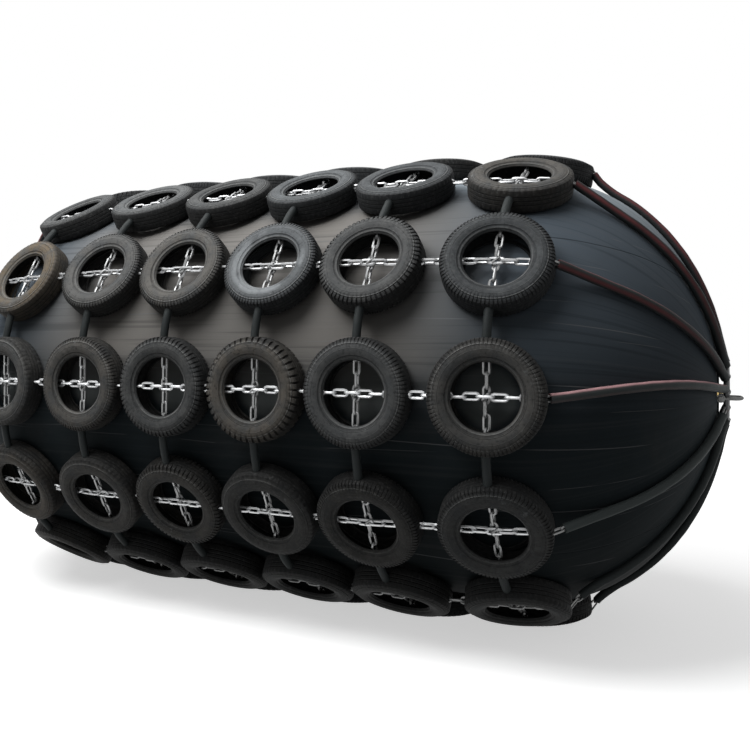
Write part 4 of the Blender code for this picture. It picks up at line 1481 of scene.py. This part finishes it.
@dataclass
class Valves:
    """The inflation valve of the right end and the safety valve of the left one."""

    finishes: Finishes
    poppet_lift: float = 0.008
    ball_middle: float = 0.038
    stem_height: float = 0.050
    cap_start: float = 0.0603
    knurls: int = 48
    housing_height: float = 0.077
    coil_turns: int = 5
    coil_radius: float = 0.018

    def inflation(self) -> None:
        """The ball valve and its cap. The ball is cos t by sin t to the power of 0.7."""
        foot = SIZES.valve_foot
        lift = shift_by(0, 0, SIZES.axis_height)
        upright = shift_by(foot + self.ball_middle, 0, 0) @ turn_about("y", -math.pi / 2)
        hexagon = lathe([(0.0, 0.0005), (0.0, 0.026), (0.003, 0.0285), (0.013, 0.0285), (0.015, 0.026),
                         (0.015, 0.0005)], 6, closed=False, at=foot)
        t = np.linspace(0.35, np.pi - 0.35, 14)
        ball = np.stack([self.ball_middle - 0.024 * np.cos(t), 0.0335 * np.sin(t) ** 0.7], 1)
        profile = np.concatenate([[(0.014, 0.0005), (0.014, 0.020)], ball,
                                  [(0.060, 0.0175), (0.0855, 0.0175), (0.0860, 0.017), (0.0860, 0.0005)]])
        stem = lathe([(0.0, 0.0005), (0.0, 0.0125), (0.038, 0.0125), (0.040, 0.008),
                      (self.stem_height, 0.008), (self.stem_height, 0.0005)], 24, closed=False)
        body = Surface.merged([hexagon, lathe(profile, 64, closed=False, at=foot), stem.moved(upright)])
        ride(body.moved(lift).to_object("inflation_valve_cast", self.finishes.brass), ROOT_BODY, "brass",
             "inflation_valve")
        outer = np.array([(0, 0.0185), (0, 0.0245), (0.002, 0.0253), (0.030, 0.0253), (0.0325, 0.0235),
                          (0.0333, 0.0215), (0.0333, 0.0004), (0.0262, 0.0004), (0.0262, 0.0185)])
        weight = np.array([0, 0.5, 1, 1, 0.3, 0, 0, 0, 0])[:, None]
        dents = np.where(np.arange(self.knurls * 2) % 2, 0.0009, 0.0)
        points = spun(outer[:, 0] + foot + self.cap_start, outer[:, 1:] - weight * dents,
                      full_turn(self.knurls * 2))
        cap = Surface.grid(points, close_u=True, close_v=True).moved(lift)
        ride(cap.to_object("valve_cap_knurled", self.finishes.brass), ROOT_BODY, "brass", "valve_cap")

    def lever(self) -> None:
        """The lever, a flat strip with a rounded tip that points along Y from the stem.

        Its outline is an oblong: half the width at the stem, tapering a little to the tip, as a polar ring
        of points, carried up in four levels whose edges are eased.
        """
        stem_x = SIZES.valve_foot + self.ball_middle
        base = SIZES.axis_height + self.stem_height + SIZES.clearance
        turn = full_turn(64)
        middle = 0.054
        y = middle - 0.066 * np.cos(turn)
        half = 0.012 * np.abs(np.sin(turn)) ** 0.35 * np.sign(np.sin(turn)) * (1 - y)
        levels = [(0.0, 0.94), (0.0008, 1.0), (0.0060, 1.0), (0.0070, 0.94)]
        rings = np.stack([np.stack([stem_x + half * size, middle + (y - middle) * (0.8 + 0.2 * size),
                                    np.full_like(y, base + height)], 1) for height, size in levels])
        bolt = lathe([(0.0, 0.0004), (0.0, 0.0085), (0.0035, 0.0085), (0.005, 0.0065), (0.005, 0.0004)], 6,
                     closed=False)
        bolt = bolt.moved(shift_by(stem_x, 0, base + 0.0068) @ turn_about("y", -math.pi / 2))
        strip = Surface.merged([Surface.capped(rings), bolt])
        ride(strip.to_object("valve_lever_painted", self.finishes.lever), "lever", "lever", "valve_lever")

    def safety(self) -> None:
        """The housing, the spring as a coil (x, r cos a, r sin a), and the poppet with its test knob."""
        foot, top = SIZES.valve_foot, self.housing_height
        side = shift_by(0, 0, SIZES.axis_height) @ End.LEFT.mirror
        housing = lathe([(0.0, 0.018), (0.0, 0.0535), (0.0015, 0.055), (0.012, 0.055), (0.014, 0.0525),
                         (0.050, 0.0525), (0.052, 0.0545), (top - 0.020, 0.0545), (top - 0.008, 0.046),
                         (top, 0.035), (top, 0.0097), (top - 0.010, 0.0097), (top - 0.010, 0.035),
                         (top - 0.020, 0.045), (0.010, 0.045), (0.010, 0.018)], 72, at=foot)
        ride(housing.moved(side).to_object("safety_housing_cast", self.finishes.brass), ROOT_BODY, "brass",
             "safety_housing")
        low, high = foot + 0.0186, foot + top - 0.0103
        length = high - low
        t = np.linspace(0, 1, self.coil_turns * 24)
        angle = 2 * np.pi * self.coil_turns * t
        coil = np.stack([low + 0.0035 + (length - 0.007) * t, self.coil_radius * np.cos(angle),
                         self.coil_radius * np.sin(angle)], 1)
        spring = tube(coil, 0.003, X_AXIS, 10).moved(side)
        piece = ride(spring.to_object("safety_spring_coil", self.finishes.spring), ROOT_BODY, "spring",
                     "safety_spring")
        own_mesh(piece)
        seat, knob = 0.0103, top + 0.004
        poppet = lathe([
            (seat, 0.0005), (seat, 0.029), (seat + 0.001, 0.030), (seat + 0.007, 0.030),
            (seat + 0.008, 0.029), (seat + 0.008, 0.009), (knob, 0.009), (knob, 0.0150),
            (knob + 0.0015, 0.016), (knob + 0.0065, 0.016), (knob + 0.008, 0.0145),
            (knob + 0.008, 0.0005)], 48, closed=False, at=foot)
        ride(poppet.moved(side).to_object("safety_poppet_turned", self.finishes.brass), "poppet", "brass",
             "safety_poppet")

    def build(self) -> None:
        """Makes both valves."""
        self.inflation()
        self.lever()
        self.safety()


@dataclass
class Studio:
    """Pale ground, soft light and the camera at the photograph's place."""

    eye: tuple[float, float, float] = (4.7188, -9.5491, 2.8924)
    yaw: float = -0.4700
    pitch: float = 0.0194
    roll: float = 0.0103
    focal_pixels: float = 863.8
    picture: int = 750
    middle: tuple[float, float] = (307.2, 334.2)
    sensor: float = 36.0
    air: float = 0.22
    ground: Colour = (0.90, 0.90, 0.90)
    underfoot: Colour = (0.16, 0.16, 0.16)
    glow: float = 0.55
    floor_reach: float = 60.0
    aim: tuple[float, float, float] = (0.0, 0.0, 2.5)

    def camera(self) -> None:
        """The camera: forward from yaw and pitch, then rolled, with the lens shift of the crop."""
        level = math.cos(self.pitch)
        forward = np.array([math.sin(self.yaw) * level, math.cos(self.yaw) * level, math.sin(self.pitch)])
        right = np.array([math.cos(self.yaw), -math.sin(self.yaw), 0.0])
        up = np.cross(right, forward)
        c, s = math.cos(self.roll), math.sin(self.roll)
        right, up = c * right + s * up, c * up - s * right
        lens = bpy.data.cameras.new("camera")
        lens.lens = self.sensor * self.focal_pixels / self.picture
        lens.sensor_width = self.sensor
        lens.shift_x = 0.5 - self.middle[0] / self.picture
        lens.shift_y = self.middle[1] / self.picture - 0.5
        lens.clip_end = 400.0
        item = bpy.data.objects.new("camera", lens)
        matrix = np.eye(4)
        matrix[:3, 0], matrix[:3, 1], matrix[:3, 2], matrix[:3, 3] = right, up, -forward, self.eye
        item.matrix_world = Matrix(matrix.tolist())
        bpy.context.scene.collection.objects.link(item)
        bpy.context.scene.camera = item

    def backdrop_factor(self, bench: Bench) -> Wire:
        """1 for the rays that should see the backdrop: the camera's, and those of reflections.

        Args:
            bench: The node tree that asks.

        Returns:
            The factor.
        """
        path = bench.tree.nodes.new("ShaderNodeLightPath")
        return sum(Wire(bench, path.outputs[ray.value]) for ray in Ray).clamped()

    def floor(self) -> None:
        """A wide matte floor that keeps the fender's shadow, pale to the rays that see the backdrop."""
        corners = np.array([(-1, -1), (1, -1), (1, 1), (-1, 1)]) * self.floor_reach
        corners = np.hstack([corners, np.full((4, 1), -0.001)])
        bench = Bench("studio_floor")
        seen = self.backdrop_factor(bench)
        away = bench.node("ShaderNodeVectorMath", {"operation": "LENGTH"}, "Value", **{"0": bench.place()})
        glow = bench.mix(away.band(6.0, 18.0), (self.glow,) * 3, (1.0, 1.0, 1.0))
        matte = bench.finish(Base_Color=bench.mix(seen, self.underfoot, self.ground), Roughness=0.9,
                             Specular_IOR_Level=0.0, Emission_Color=bench.mix(seen, (0.0, 0.0, 0.0), glow),
                             Emission_Strength=1.0)
        Surface.disc(corners).to_object("floor", matte)

    def lamp(self, name: str, place: tuple[float, float, float], size: float, power: float) -> None:
        """A square soft box that looks at the fender's middle.

        Args:
            name: The lamp's name.
            place: Where it stands.
            size: The length of its sides.
            power: In watts.
        """
        light = bpy.data.lights.new(name, "AREA")
        light.size = size
        light.energy = power
        item = bpy.data.objects.new(name, light)
        item.location = place
        item.rotation_mode = "QUATERNION"
        item.rotation_quaternion = (Vector(self.aim) - Vector(place)).to_track_quat("-Z", "Y")
        bpy.context.scene.collection.objects.link(item)

    def world(self) -> None:
        """A pale world, white to the camera and softer as a light."""
        bpy.context.scene.world = bpy.data.worlds.new("studio")
        bench = Bench(bpy.context.scene.world)
        back = bench.tree.nodes["Background"]
        bench.plug(back.inputs["Color"], (1.0, 1.0, 1.0))
        bench.plug(back.inputs["Strength"], self.backdrop_factor(bench) * (1.0 - self.air) + self.air)

    def build(self) -> None:
        """Sets up the picture."""
        self.camera()
        self.floor()
        self.world()
        self.lamp("sky_box", (-2.0, -3.5, 12.0), 10.0, 1700.0)
        self.lamp("side_box", (-4.0, -8.5, 12.5), 6.0, 800.0)
        bpy.context.scene.view_settings.view_transform = "Standard"


def main() -> None:
    """Builds the fender's looks and the studio, and logs each piece as it is made."""
    logging.basicConfig(level=logging.INFO, format="%(message)s")
    finishes = Finishes()
    RubberBody(finishes).build()
    net = TyreNet(finishes)
    net.build()
    for end in End:
        EndChains(finishes, net, end).build()
        EndSteelwork(finishes, end).build()
    Valves(finishes).build()
    Studio().build()


if __name__ == "__main__":
    main()
